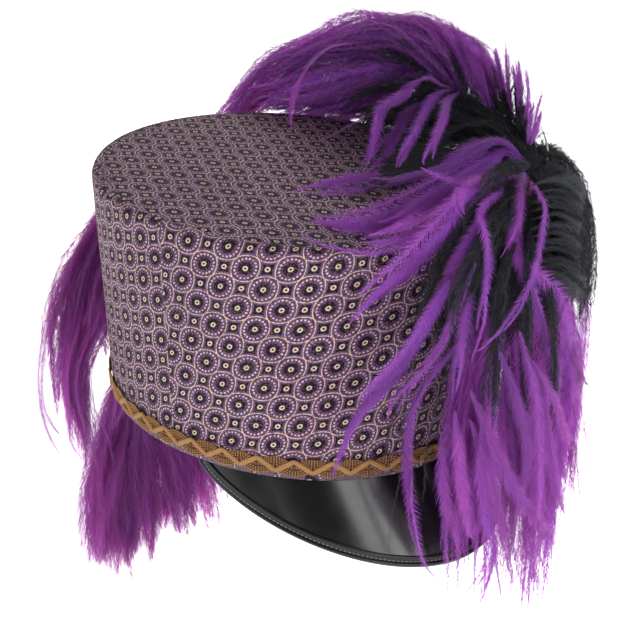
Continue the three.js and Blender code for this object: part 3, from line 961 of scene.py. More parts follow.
# Single strands as (bundle width, barbs, half vane in mm, places)
CREST_FINGERS = (
    (3, 4, 3.2, (62, -20, 163), (58, -29, 167), (59, -36, 170), (60, -42, 167), (57, -51, 162),
     (50, -61, 157), (37, -65, 149), (13, -66, 139), (-5, -60, 135)),
    (3, 4, 3.2, (61, -19, 163), (56, -30, 164), (50, -37, 162), (41, -43, 158), (25, -46, 153),
     (10, -46, 146), (1, -44, 140)),
    (3, 4, 3.2, (58, -19, 163), (48, -30, 163), (34, -33, 160), (19, -33, 154), (8, -31, 147), (2, -28, 144)),
    (3, 4, 3.0, (66, -24, 158), (69, -34, 153), (62, -44, 151), (51, -53, 146), (28, -62, 139),
     (2, -61, 134)),
    (2, 3, 3.0, (18, -30, 142), (14, -36, 139), (5, -45, 136), (1, -54, 133), (-4, -67, 130)),
)
CURL_STRANDS = (
    (2, 2, 2.2, (202, 28, 54), (216, 34, 30), (231, 36, 8), (223, 34, -34), (208, 30, -75)),
    (2, 2, 2.2, (201, 26, 25), (213, 30, -8), (211, 30, -46), (200, 26, -90)),
    (2, 2, 2.2, (210, 30, 42), (220, 35, 17), (225, 35, -13), (212, 32, -58)),
    (1, 2, 1.8, (197, 24, 10), (202, 24, -29), (197, 24, -66), (186, 24, -108)),
)
FALL_STRANDS = (
    (1, 1, 1.8, (0, 48, -12), (3, 48, -38), (4, 47, -56), (0, 46, -74)),
    (2, 2, 1.8, (4, 50, -15), (9, 50, -44), (18, 49, -72), (26, 48, -94)),
    (1, 1, 1.4, (8, 50, -25), (17, 50, -56), (28, 48, -88)),
    (1, 1, 1.6, (1, 49, -18), (5, 49, -45), (12, 48, -69), (18, 47, -86)),
    (1, 1, 1.6, (-4, 46, -15), (-4, 46, -31), (-6, 44, -52)),
    (2, 2, 1.6, (7, 51, 4), (16, 52, -28), (26, 52, -50), (33, 51, -64)),
    (1, 1, 1.4, (14, 52, 14), (21, 53, -22), (29, 53, -40), (35, 53, -44)),
    (3, 3, 2.4, (7, 54, 81), (14, 57, 58), (26, 59, 36)),
    (4, 4, 4.4, (-12, 56, 90), (-8, 57, 69), (-1, 57, 30), (0, 54, -9), (2, 50, -46)),
    (3, 3, 4.0, (-4, 57, 81), (3, 58, 58), (12, 58, 26), (23, 57, 3)),
    (3, 3, 4.0, (-1, 57, 70), (7, 58, 22), (14, 57, -9), (32, 56, -46)),
    (3, 3, 4.2, (-16, 53, 72), (-11, 55, 46), (-3, 56, 13), (9, 55, -23), (32, 53, -67)),
    (4, 4, 4.2, (-18, 50, 61), (-15, 50, 24), (-9, 48, -16)),
    (4, 4, 4.2, (-15, 52, 56), (-8, 54, 16), (0, 51, -34)),
    (3, 3, 4.0, (-13, 54, 56), (-11, 54, 19), (-4, 51, -26), (-8, 48, -53)),
    (3, 3, 4.0, (-19, 45, 48), (-17, 46, 18), (-11, 46, -27)),
    (4, 4, 4.4, (-8, 56, 98), (-2, 58, 59), (3, 58, 17), (5, 55, -25)),
    (16, 12, 4.0, (-6, 46, 70), (-1, 48, 18), (3, 46, -26)),
    (14, 10, 4.0, (-10, 44, 80), (-7, 46, 40), (-3, 46, 0)),
)
FRONT_STRANDS = (
    (11, 9, 3.6, (22, 10, 150), (21, -2, 158), (18, -16, 152), (15, -28, 143), (15, -49, 133), (6, -72, 127),
     (-63, -60, 124)),
    (16, 10, 3.6, (19, 13, 147), (21, 2, 154), (16, -9, 148), (8, -18, 141), (-9, -26, 131), (-31, -27, 126),
     (-48, -31, 124)),
    (15, 8, 3.6, (16, 9, 145), (7, 6, 148), (1, -2, 143), (-9, -2, 138), (-24, -1, 130), (-36, -3, 126)),
    (1, 1, 2.2, (14, 10, 144), (3, -1, 140), (-14, 5, 132), (-28, 6, 126), (-40, -1, 124), (-50, -8, 124),
     (-57, -14, 124)),
    (1, 1, 3.0, (11, 12, 151), (6, 10, 152), (-8, 8, 154), (-12, 4, 157), (-17, -2, 161)),
    (1, 2, 3.2, (16, 12, 146), (7, 16, 152), (-8, 20, 159), (-12, 22, 158), (-14, 24, 153), (-13, 26, 146),
     (-11, 28, 136)),
    (10, 6, 4.2, (18, 10, 143), (-8, 18, 152), (-16, 18, 137), (-23, 15, 122), (-31, 12, 103), (-38, 8, 82)),
    (4, 4, 3.6, (16, 10, 141), (-11, 30, 140), (-17, 34, 126), (-19, 36, 118), (-21, 36, 106), (-23, 35, 96),
     (-27, 30, 75), (-34, 20, 42), (-39, 22, 2)),
    (3, 3, 4.0, (16, 12, 143), (0, 20, 149), (-14, 34, 131), (-17, 38, 120), (-16, 40, 111), (-16, 42, 97),
     (-16, 42, 77), (-16, 40, 55)),
    (1, 2, 4.4, (16, 14, 148), (11, 18, 151), (-1, 34, 153), (-6, 42, 144), (-9, 45, 136), (-13, 46, 127)),
    (1, 2, 3.0, (16, 12, 146), (0, 22, 150), (-12, 34, 148), (-13, 42, 139), (-13, 45, 127), (-14, 47, 114),
     (-14, 48, 101), (-13, 48, 82)),
    (1, 2, 2.6, (12, 20, 140), (2, 34, 155), (-1, 42, 156), (-1, 47, 149), (-3, 50, 138), (-5, 52, 123),
     (-8, 53, 109), (-12, 54, 99), (-16, 54, 91), (-18, 54, 86)),
    (3, 3, 4.2, (13, 16, 141), (-3, 36, 132), (-5, 42, 127), (-2, 48, 118), (3, 51, 105), (8, 53, 84),
     (15, 54, 58), (30, 54, 12)),
    (3, 3, 4.0, (12, 16, 140), (-4, 38, 131), (-4, 48, 116), (1, 51, 95), (5, 52, 72), (11, 52, 34)),
    (3, 3, 3.4, (-16, 40, 129), (-22, 40, 111), (-25, 36, 89), (-31, 28, 65), (-33, 24, 55)),
    (3, 3, 3.4, (-15, 43, 130), (-18, 43, 111), (-20, 41, 90), (-26, 34, 60), (-28, 30, 38)),
    (4, 3, 3.4, (-13, 38, 94), (-22, 34, 60), (-23, 34, 34), (-23, 38, 20), (-22, 42, 0), (-19, 44, -26),
     (-16, 46, -34)),
)
BLACK_STRANDS = (
    (10, 24, 2.0, (20, 14, 148), (27, 11, 151), (34, 5, 156), (41, -2, 160), (49, -8, 163), (54, -16, 165),
     (60, -24, 164)),
    (14, 20, 2.2, (19, 14, 148), (27, 3, 153), (31, -10, 151), (32, -22, 147), (31, -28, 143)),
    (9, 34, 3.4, (28, 6, 150), (38, -3, 156), (54, -16, 159), (74, -15, 161), (98, -4, 156), (116, 4, 146)),
    (9, 24, 3.4, (44, -10, 154), (58, -18, 155), (76, -18, 156), (98, -8, 152)),
    (8, 26, 3.2, (26, 8, 148), (36, -2, 154), (46, -12, 157), (55, -22, 158), (64, -30, 156)),
    (10, 26, 3.2, (34, -4, 150), (44, -18, 153), (54, -28, 153), (66, -36, 150)),
    (14, 20, 2.2, (27, 5, 153), (38, -8, 155), (43, -20, 152), (46, -34, 143), (48, -46, 134)),
    (10, 14, 2.2, (52, -18, 160), (72, -22, 160), (92, -24, 152), (116, -28, 138)),
    (14, 16, 2.8, (46, -6, 148), (70, -20, 138), (100, -14, 128)),
    (14, 16, 2.8, (40, -8, 152), (60, -22, 150), (80, -26, 142), (104, -30, 130)),
    (12, 14, 2.8, (16, 14, 144), (6, 24, 136), (-2, 26, 110), (-8, 24, 80)),
    (16, 20, 3.0, (30, 10, 140), (50, 4, 138), (72, 0, 134), (95, 2, 126)),
    (16, 22, 3.2, (58, -8, 136), (76, -8, 132), (90, -10, 130), (104, -6, 129), (120, 2, 125)),
    (12, 14, 2.8, (14, 14, 144), (2, 26, 149), (-12, 38, 134), (-16, 42, 121), (-18, 43, 108), (-19, 42, 92)),
    (9, 16, 3.0, (60, -14, 156), (70, -20, 154), (75, -30, 150), (83, -40, 144), (97, -42, 136)),
    (8, 14, 3.0, (60, -14, 160), (70, -20, 158), (75, -30, 155), (83, -40, 149), (97, -42, 140)),
    (9, 14, 3.0, (62, -18, 152), (73, -29, 149), (79, -39, 144), (92, -41, 136), (104, -38, 128)),
    (4, 5, 2.2, (62, -20, 164), (73, -23, 172), (83, -28, 178), (94, -26, 178)),
    (4, 5, 2.2, (67, -21, 163), (82, -22, 167), (93, -27, 169), (107, -27, 167)),
    (4, 5, 2.2, (53, -18, 165), (63, -21, 175), (71, -25, 182)),
    (8, 10, 2.4, (16, 16, 152), (6, 20, 159), (0, 22, 160), (-6, 24, 158), (-10, 24, 152)),
    (1, 1, 1.6, (-20, 38, 92), (-22, 36, 66), (-25, 34, 40), (-22, 34, 23), (-18, 36, 6)),
    (1, 2, 1.8, (-22, 34, 96), (-24, 30, 69), (-27, 28, 37), (-26, 28, 19)),
    (10, 16, 1.8, (32, 6, 154), (35, 5, 161), (38, 5, 168)),
    (10, 16, 1.8, (40, 0, 158), (43, -1, 165), (46, -2, 172)),
    (10, 14, 1.4, (44, -2, 160), (48, -3, 170), (52, -5, 181)),
    (10, 14, 1.4, (36, 4, 157), (40, 3, 168), (44, 3, 177)),
    (16, 16, 2.6, (31, 14, 150), (38, 27, 140), (42, 38, 118), (43, 46, 85), (41, 50, 56)),
    (14, 12, 2.6, (20, 16, 144), (14, 36, 130), (8, 42, 100), (4, 44, 64)),
    (12, 10, 2.6, (20, 16, 144), (24, 38, 130), (26, 46, 100), (24, 50, 66)),
    (16, 16, 2.8, (16, 12, 146), (6, 14, 147), (-10, 22, 138), (-16, 22, 121), (-18, 18, 100), (-20, 14, 78)),
    (16, 16, 2.8, (16, 12, 145), (8, 14, 144), (-6, 24, 130), (-10, 26, 108), (-12, 26, 84), (-12, 24, 56)),
    (12, 10, 2.6, (16, 12, 147), (14, 13, 146), (0, 20, 150), (-7, 23, 146), (-11, 24, 143), (-14, 26, 132)),
    (6, 7, 2.8, (-4, 38, 132), (-9, 45, 124), (-11, 50, 100), (-11, 52, 70), (-9, 52, 42)),
    (6, 7, 2.8, (0, 40, 134), (-4, 46, 126), (-5, 52, 98), (-3, 54, 62), (-1, 54, 28)),
    (5, 6, 2.8, (4, 42, 130), (1, 48, 122), (2, 54, 88), (6, 55, 48), (8, 55, 12)),
    (1, 1, 0.9, (-22, 36, 112), (-25, 36, 62), (-26, 40, 22), (-26, 42, -4), (-26, 42, -34)),
    (1, 1, 1.7, (-18, 40, 72), (-20, 40, 47), (-21, 42, 27), (-20, 42, 7)),
    (3, 4, 2.0, (34, 36, 134), (36, 45, 108), (36, 49, 84), (34, 49, 60)),
    (5, 5, 2.2, (34, 36, 120), (36, 43, 96), (36, 46, 72), (35, 46, 48)),
)
CREST_STRANDS = (
    (2, 5, 2.2, (42, -1, 160), (46, -4, 172), (53, -7, 190)),
    (3, 6, 2.2, (39, 1, 158), (44, -2, 174), (50, -3, 192)),
    (2, 5, 2.2, (38, 2, 158), (42, 2, 172), (47, 0, 185)),
    (3, 6, 2.2, (35, 5, 156), (40, 3, 174), (45, 2, 190)),
    (3, 6, 2.2, (33, 6, 155), (38, 7, 172), (42, 5, 185)),
    (2, 4, 2.0, (28, 9, 153), (32, 9, 165), (34, 9, 174)),
    (2, 4, 2.0, (28, 10, 153), (31, 12, 160), (34, 14, 169)),
    (1, 2, 1.4, (31, 10, 154), (36, 12, 169), (39, 14, 178)),
    (3, 6, 2.2, (48, -5, 163), (55, -7, 178), (58, -9, 187)),
    (3, 6, 2.2, (46, -3, 162), (50, -5, 173), (55, -9, 184)),
    (3, 6, 2.2, (50, -7, 164), (58, -11, 181), (64, -16, 190)),
    (1, 1, 1.0, (30, 12, 155), (35, 16, 156), (37, 23, 150), (38, 32, 138)),
    (7, 16, 2.4, (56, -17, 164), (66, -17, 165), (76, -16, 166), (98, -5, 161), (120, 5, 150)),
    (12, 14, 3.0, (104, 4, 140), (118, 4, 132), (132, 3, 126), (148, 2, 122)),
    (3, 2, 2.4, (104, -20, 172), (116, -39, 170), (125, -54, 160), (129, -53, 145), (132, -49, 126)),
    (3, 2, 2.4, (66, -18, 162), (71, -20, 158), (82, -27, 152), (88, -40, 144), (98, -50, 135),
     (108, -60, 128), (131, -66, 124)),
)
# The barbs of one broad black feather stand like ribs, evenly from the first path to the last
BLACK_RIBS = 13
RIB_BARBS = (2, 3, 3.0)
RIB_FIRST = ((-1, 38, 157), (3, 42, 158), (12, 42, 149), (32, 38, 123))
RIB_LAST = ((-3, 46, 112), (2, 50, 113), (10, 50, 102), (30, 46, 71))
QUILL = ((36, 14, 158), (34, 17, 152), (33, 18, 146), (32, 18, 140), (31, 19, 134))
QUILL_RADIUS = 0.0006
QUILL_SIDES = 6
QUILL_STEPS = 30
QUILL_END = 0.05
# Shares along a lock, with its width there and how loose its clumps are
SWELL = ((0.0, 0.33, 0.67, 1.0), (0.25, 0.95, 1.0, 0.5))
CLUMP = ((0.0, 0.4, 0.75, 1.0), (0.3, 1.0, 0.9, 0.2))
LOCK_FLATNESS = 0.5
# From this share of the crown's height, directions off the hat turn upward at this rate
LIFT_FROM = 0.8
LIFT_RATE = 3
SHAFT_STEPS = 200
LEAST_STATIONS = 24
BARB_GAP = 0.002
BARBULE_GAP = 0.0008
LEAN_SPREAD = 0.09
LEAST_LEAN = 0.75
CUP = -0.15
TWIST_DRIFT = 0.5
RIB_TONE = 0.35
# Ranges of what differs from barb to barb and from barbule to barbule
OUTER_RANGE = (0.5, 1.4)
CUT_RANGE = (0.88, 1.0)
SWAY_WAVES = (1.0, 2.6)
SWAY_SHARES = (0.1, 0.4)
VANE_RANGE = (0.8, 1.2)
DEPTH_RANGE = (0.65, 1.2)
REACH_RANGE = (0.6, 1.15)
TONE_RANGE = (0.6, 1.0)
BARBULE_PITCH = 0.00090
# Share of the light that comes through a barb
GLOW = 0.28


class Tuft:
    """How locks or strands are filled with barbs: sizes in metres, angles in degrees."""

    def __init__(self, clumps, barbs, vane, stray, gather=0.003, wisp=0.0, shares=(0.72, 1.0), lean=36,
                 dye=(0.2, 0.8), blend=0.5, twist=35, fluff=0.8, taper=3.2, pitch=BARBULE_PITCH):
        self.clumps = clumps
        self.barbs = barbs
        self.gather = gather
        self.wisp = wisp
        self.vane = vane
        self.stray = stray
        self.shares = shares
        self.lean = math.radians(lean)
        self.dye = dye
        self.blend = blend
        self.twist = math.radians(twist)
        self.fluff = fluff
        self.taper = taper
        self.pitch = pitch


# Settings of the broad strands
FINGER = {
    "stray": 0.002, "shares": (0.92, 1.0), "lean": 38, "dye": (0.0, 0.55), "twist": 14, "fluff": 0.30,
    "pitch": 0.0005,
}


def runs_of(paths):
    """Length along each path at its points."""
    steps = np.linalg.norm(np.diff(paths, axis=1), axis=2)
    return np.concatenate([np.zeros((len(paths), 1)), np.cumsum(steps, axis=1)], axis=1)


def even_steps(paths, shares, count):
    """Each path cut to a share of its length and stepped evenly."""
    runs = runs_of(paths)
    stepped = np.empty((len(paths), count, 3))
    for path, run, share, made in zip(paths, runs, shares, stepped):
        stops = np.linspace(0, share * run[-1], count)
        for axis in range(3):
            made[:, axis] = np.interp(stops, run, path[:, axis])
    return stepped


def smooth_path(points, fine=12):
    """Centripetal curves through (barbs, points, 3)."""
    first = 2 * points[:, :1] - points[:, 1:2]
    last = 2 * points[:, -1:] - points[:, -2:-1]
    held = np.concatenate([first, points, last], axis=1)
    steps = np.sqrt(np.maximum(np.linalg.norm(np.diff(held, axis=1), axis=2), 1e-6))
    knots = np.concatenate([np.zeros((len(held), 1)), np.cumsum(steps, axis=1)], axis=1)
    share = np.linspace(0, 1, fine, endpoint=False)[None, :, None]
    curve = []
    for k in range(held.shape[1] - 3):
        p = [held[:, k + i, None] for i in range(4)]
        t = [knots[:, k + i, None, None] for i in range(4)]
        at = t[1] + (t[2] - t[1]) * share
        a = [((t[i + 1] - at) * p[i] + (at - t[i]) * p[i + 1]) / (t[i + 1] - t[i]) for i in range(3)]
        b = [((t[i + 2] - at) * a[i] + (at - t[i]) * a[i + 1]) / (t[i + 2] - t[i]) for i in range(2)]
        curve.append(((t[2] - at) * b[0] + (at - t[1]) * b[1]) / (t[2] - t[1]))
    curve.append(points[:, -1:])
    return np.concatenate(curve, axis=1)


def away_from(places, height):
    """Directions off the hat: outward round the wall, and up over the top."""
    lift = LIFT_RATE * np.maximum(places[..., 2] - LIFT_FROM * height, 0)
    return unit(np.stack([places[..., 0], places[..., 1], lift], axis=-1))


def head_locks(form, rows, head):
    """Places and widths of locks from the plume's head."""
    root = (PLUME_TURN, HEAD_OUT, head)
    return form.points([(root, *row[:3]) for row in rows]), np.array([row[3] for row in rows]) * MM


def shaft_locks(form, rows):
    """Places and widths of locks from the crest's shaft."""
    shaft = even_steps(smooth_path(form.points([CREST_SHAFT])), [1], SHAFT_STEPS + 1)[0]
    roots = shaft[[round(row[0] * SHAFT_STEPS) for row in rows]]
    rest = form.points([row[1:4] for row in rows])
    return np.concatenate([roots[:, None], rest], axis=1), np.array([row[4] for row in rows]) * MM


def strand_groups(form, rows, **settings):
    """A group of barbs for each single strand."""
    groups = []
    for width, barbs, vane, *places in rows:
        tuft = Tuft(clumps=barbs, barbs=1, vane=vane * MM, gather=0.0, **settings)
        groups.append((form.points([places]), np.array([width]) * MM, tuft))
    return groups


def rib_rows():
    """Strands of the broad black feather."""
    first, last = np.array(RIB_FIRST), np.array(RIB_LAST)
    return [(*RIB_BARBS, *(first + (last - first) * share)) for share in np.linspace(0, 1, BLACK_RIBS)]


def lay_barbs(rng, form, locks, widths, tuft):
    """Curves of barbs in clumps along and between the locks, kept off the hat, and how far out they lie."""
    own = np.repeat(np.arange(len(locks)), tuft.clumps)
    count = len(own)
    near = np.clip(own + rng.choice((-1, 1), count), 0, len(locks) - 1)
    lean = (rng.random(count) * tuft.blend)[:, None, None]
    points = locks[own] * (1 - lean) + locks[near] * lean
    even = np.linspace(0, 1, points.shape[1])
    away = away_from(points, form.height)
    side = unit(np.cross(unit(np.gradient(points, axis=1)), away))
    swing = rng.random(count) * math.tau
    spread = np.sqrt(rng.random(count))
    swell = np.interp(even, *SWELL) * widths[own, None] / 2
    points = points + side * ((spread * np.cos(swing))[:, None] * swell)[..., None]
    points = points + away * ((spread * np.sin(swing))[:, None] * swell * LOCK_FLATNESS)[..., None]
    points = points + rng.normal(size=points.shape) * (tuft.stray * even ** 1.5)[:, None]
    points = np.repeat(points, tuft.barbs, axis=0)
    loose = np.interp(even, *CLUMP)[:, None] * tuft.gather
    points = points + rng.normal(size=(len(points), 1, 3)) * loose
    points = points + rng.normal(size=points.shape) * (tuft.wisp * even ** 3)[:, None]
    outer = np.repeat((1 + spread * np.sin(swing)) / 2 * rng.uniform(*OUTER_RANGE, count), tuft.barbs)
    shares = np.repeat(rng.uniform(*tuft.shares, count), tuft.barbs)
    shares = np.minimum(shares * rng.uniform(*CUT_RANGE, len(points)), 1.0)
    curves = smooth_path(points)
    stations = max(LEAST_STATIONS, round(runs_of(curves)[:, -1].mean() / tuft.pitch))
    paths = even_steps(curves, shares, stations)
    even = np.linspace(0, 1, stations)
    each = (len(paths), 1)
    wave = rng.uniform(*SWAY_WAVES, each) * even * math.tau + rng.random(each) * math.tau
    sway = np.sin(wave) * even * rng.uniform(*SWAY_SHARES, each) * tuft.stray
    side = unit(np.cross(unit(np.gradient(paths, axis=1)), away_from(paths, form.height)))
    return form.clear(paths + side * sway[..., None], BARB_GAP), outer


def barb_profile(even, taper):
    """Width of a barb's vanes along it: slim at the root, full, then drawn to a point."""
    return np.clip(0.25 + even * 3.5, 0, 1) * np.clip((1.02 - even) * taper, 0, 1) ** 0.75


def comb_barbs(rng, form, paths, outer, tuft):
    """Flat barbs with a barbule on each side at every station, joined along the rib, and their tones with
    painted shade and light.
    """
    count, stations = paths.shape[:2]
    even = np.linspace(0, 1, stations)
    ahead = unit(np.gradient(paths, axis=1))
    face = away_from(paths, form.height)
    face = unit(face - np.sum(face * ahead, axis=-1, keepdims=True) * ahead)
    side = np.cross(ahead, face)
    twist = rng.normal(0, tuft.twist, (count, 1)) + rng.normal(0, TWIST_DRIFT, (count, 1)) * even
    c, s = np.cos(twist)[..., None], np.sin(twist)[..., None]
    side, face = side * c + face * s, face * c - side * s
    middle = (paths[:, 1:] + paths[:, :-1]) / 2
    side, face, ahead = side[:, 1:], face[:, 1:], ahead[:, 1:]
    profile = barb_profile((even[1:] + even[:-1]) / 2, tuft.taper)
    vane = tuft.vane * rng.uniform(*VANE_RANGE, (count, 1)) * profile
    dye = rng.uniform(*tuft.dye, count)
    # Painted shade and light: barbs lying inward in their lock are darker, and each barb darkens toward its
    # root and brightens toward its tip
    depth = np.clip(0.15 + 0.95 * outer, 0, 1) * rng.uniform(*DEPTH_RANGE, count)
    light = depth[:, None] * np.clip(0.35 + 2.5 * even, 0, 1) * (0.8 + 0.35 * even)
    verts = [paths]
    tones = [light * RIB_TONE]
    for sign in (-1, 1):
        reach = vane * rng.uniform(*REACH_RANGE, vane.shape)
        lean = np.maximum(tuft.lean + rng.normal(0, LEAN_SPREAD, vane.shape), LEAST_LEAN * tuft.lean)
        cup = rng.normal(CUP, tuft.fluff, vane.shape)
        tip = middle + ahead * (reach / np.tan(lean))[..., None]
        tip += side * (sign * reach * np.cos(cup))[..., None] + face * (reach * np.sin(cup))[..., None]
        verts.append(form.clear(tip, BARBULE_GAP))
        tones.append(rng.uniform(*TONE_RANGE, vane.shape) * light[:, 1:])
    places = np.concatenate(verts, axis=1)
    marks = {"tone": np.concatenate(tones, axis=1), "dye": np.repeat(dye[:, None], places.shape[1], axis=1)}
    k = np.arange(stations - 1)
    left = np.stack([k, k + 1, stations + k], axis=-1)
    right = np.stack([k + 1, k, 2 * stations - 1 + k], axis=-1)
    faces = np.concatenate([left, right])[None] + (np.arange(count) * places.shape[1])[:, None, None]
    return places.reshape(-1, 3), faces.reshape(-1, 3), {key: value.ravel() for key, value in marks.items()}


def plume_mesh(name, form, seed, groups):
    """One joined mesh of barbs for groups of (locks, widths, tuft)."""
    rng = np.random.default_rng(seed)
    places = []
    faces = []
    marks = {"tone": [], "dye": []}
    offset = 0
    for locks, widths, tuft in groups:
        paths, outer = lay_barbs(rng, form, locks, widths, tuft)
        spots, triangles, values = comb_barbs(rng, form, paths, outer, tuft)
        places.append(spots)
        faces.append(triangles + offset)
        offset += len(spots)
        for key in marks:
            marks[key].append(values[key])
    joined = {key: np.concatenate(values) for key, values in marks.items()}
    return mesh_from_arrays(name, np.concatenate(places), np.concatenate(faces), joined)


def quill_mesh(form):
    """The bare shaft of a feather, slim at both ends."""
    path = even_steps(smooth_path(form.points([QUILL])), [1], QUILL_STEPS)
    ahead = unit(np.gradient(path, axis=1))
    side = unit(np.cross(ahead, away_from(path, form.height)))
    face = np.cross(side, ahead)
    turns = np.arange(QUILL_SIDES) * math.tau / QUILL_SIDES
    radius = QUILL_RADIUS * np.sin(np.linspace(QUILL_END, math.pi - QUILL_END, QUILL_STEPS)) ** 0.5
    ring = np.cos(turns)[:, None] * side[0][:, None] + np.sin(turns)[:, None] * face[0][:, None]
    places = path[0][:, None] + ring * radius[:, None, None]
    faces = tube_faces(QUILL_STEPS, QUILL_SIDES)[:, ::-1]
    return mesh_from_arrays("plume_quill", places.reshape(-1, 3), faces)


def quill_paint(colours):
    """Pale horn, dyed darker in streaks."""
    paint = Paint("bare_quill", roughness=0.35)
    streak = paint.cloud(260.0, 2.0)
    dyed = scaled(colours.quill, 0.35)
    paint.feed({"Base Color": paint.mix(streak.rise(0.45, 0.7), colours.quill, dyed)})
    return paint.material


# Scales of each dye from deep to bright, and the barbs' sheen; the black dye's grey bright end is a painted
# sheen
DYES = {
    "purple": (((0.55, 0.62, 0.90), (1.0, 1.0, 1.0), (1.50, 1.15, 0.90)), 0.25),
    "black": (((0.6, 0.6, 0.6), (1.2, 1.2, 1.2), (3.0, 3.1, 3.2)), 0.10),
}
# Dark end of the barbs' tone: the real dark rib, and the painted shade inside the plume
RIB_AND_PAINTED_SHADE = (0.10, 0.08, 0.20)


def feather_paint(colours, dye_name):
    """Dyed barbs, made once: darker at the rib and where the tone carries painted shade, with some barbs
    redder or bluer than others.
    """
    name = f"{dye_name}_barbs"
    if name in bpy.data.materials:
        return bpy.data.materials[name]
    scales, sheen = DYES[dye_name]
    stops = shades(getattr(colours, dye_name), *scales)
    paint = Paint(name, sheen_weight=sheen, sheen_roughness=0.4)
    tone = paint.mark("tone")
    dye = paint.mark("dye")
    drift = paint.cloud(35.0, 2.0)
    hue = paint.node("ShaderNodeValToRGB", {"stops": stops}, {0: dye * 0.7 + drift * 0.3})
    # The dark rib and painted shade: a low tone turns the hue toward the dark colour
    dark = paint.mix(1.0, hue, RIB_AND_PAINTED_SHADE, "MULTIPLY")
    paint.feed({
        "Base Color": paint.mix(tone, dark, hue),
        "Roughness": 0.75 - 0.15 * tone,
    })
    through = paint.node("ShaderNodeBsdfTranslucent", {}, {"Color": stops[-1][1]})
    both = paint.node("ShaderNodeMixShader", {}, {0: GLOW, 1: Wire(paint, paint.skin.outputs[0]), 2: through})
    paint.join(paint.tree.nodes["Material Output"], {"Surface": both})
    return paint.material


def place_barbs(name, seed, groups, node, dye_name):
    """Adds a joined mesh of barbs that stands for a layer of the plume."""
    mesh = plume_mesh(name, current_form(), seed, groups)
    paint = feather_paint(bpy.context.scene.shako_colours, dye_name)
    place_piece(name, mesh, node, f"{dye_name}_feather", paint)


# Stage

CAMERA_TURN = math.radians(-45.79)
CAMERA_RISE = math.radians(24.2)
CAMERA_ROLL = math.radians(2.14)
CAMERA_DISTANCE = 0.9055
CAMERA_ASIDE = 0.01469
CAMERA_HEIGHT = 0.04203
CAMERA_LENS = 98.55
FLOOR_DROP = 0.05
FLOOR_HALF = 6.0
# Softboxes: turn and rise in degrees, distance, width and height in metres, power in watts
SOFTBOXES = (
    ("front_softbox", 8, 31, 1.35, 1.80, 0.36, 18.5),
    ("side_softbox", -98, 26, 1.5, 0.9, 0.8, 9.0),
    ("low_softbox", -55, 4, 1.5, 0.9, 0.25, 1.5),
    ("back_softbox", 150, 35, 1.6, 1.2, 0.8, 9.0),
)


def direction(turn, rise):
    """The direction to a place at a turn from the front and a rise above level."""
    return Vector((math.sin(turn) * math.cos(rise), -math.cos(turn) * math.cos(rise), math.sin(rise)))


def add_camera():
    """The camera that was fitted to the photograph."""
    back = direction(CAMERA_TURN, CAMERA_RISE)
    level = Vector((math.cos(CAMERA_TURN), math.sin(CAMERA_TURN), 0))
    up = back.cross(level)
    right = level * math.cos(CAMERA_ROLL) + up * math.sin(CAMERA_ROLL)
    above = up * math.cos(CAMERA_ROLL) - level * math.sin(CAMERA_ROLL)
    eye = level * CAMERA_ASIDE + Vector((0, 0, CAMERA_HEIGHT)) + back * CAMERA_DISTANCE
    data = bpy.data.cameras.new("photo_camera")
    data.lens = CAMERA_LENS
    data.sensor_width = 36.0
    camera = bpy.data.objects.new("photo_camera", data)
    camera.matrix_world = Matrix.Translation(eye) @ Matrix((right, above, back)).transposed().to_4x4()
    bpy.context.scene.collection.objects.link(camera)
    bpy.context.scene.camera = camera


def add_softbox(name, turn, rise, distance, width, height, power):
    """A rectangular light that faces the hat."""
    data = bpy.data.lights.new(name, "AREA")
    data.shape = "RECTANGLE"
    data.size = width
    data.size_y = height
    data.energy = power
    lamp = bpy.data.objects.new(name, data)
    towards = direction(math.radians(turn), math.radians(rise))
    lamp.location = towards * distance + Vector((0, 0, CAMERA_HEIGHT))
    lamp.rotation_euler = towards.to_track_quat("Z", "Y").to_euler()
    bpy.context.scene.collection.objects.link(lamp)


def floor_paint():
    """A pale floor that glows a little, as a lit studio sweep does."""
    paint = Paint("studio_floor", roughness=0.9, emission_strength=0.95)
    tint = paint.cloud(0.8, 1.0)
    paint.feed({
        "Base Color": paint.mix(tint, (0.86, 0.86, 0.87), (0.89, 0.89, 0.89)),
        "Emission Color": (1.0, 1.0, 1.0),
    })
    return paint.material


def add_floor():
    """A wide floor below the hat."""
    bm = bmesh.new()
    bmesh.ops.create_grid(bm, x_segments=1, y_segments=1, size=FLOOR_HALF)
    bmesh.ops.translate(bm, verts=bm.verts, vec=(0, 0, CAD_BOX[0][2] - FLOOR_DROP))
    floor = bpy.data.objects.new("studio_floor", mesh_of(bm, "studio_floor"))
    floor.data.materials.append(floor_paint())
    bpy.context.scene.collection.objects.link(floor)


def set_world():
    """A dim white surround."""
    world = bpy.data.worlds.new("studio_world")
    world.use_nodes = True
    sky = world.node_tree.nodes["Background"]
    sky.inputs["Color"].default_value = (1, 1, 1, 1)
    sky.inputs["Strength"].default_value = 0.09
    bpy.context.scene.world = world
    bpy.context.scene.view_settings.view_transform = "Standard"


# Operators

class SHAKO_OT_crown_side(bpy.types.Operator):
    """Cover the crown's wall with brocade"""

    bl_idname = "shako.crown_side"
    bl_label = "Crown side"

    def execute(self, context):
        sizes, colours = context.scene.shako_sizes, context.scene.shako_colours
        bm, run = spun_section(wall_section(sizes), WALL_STEPS, SEAM_TURN)
        dress_wall(bm, run, current_form(), sizes)
        mesh = mesh_of(bm, "crown_side_cloth")
        paints = brocade_paint(colours), lining_paint(colours)
        place_piece("crown_side_cloth", mesh, "crown_side", "brocade", *paints)
        return {"FINISHED"}


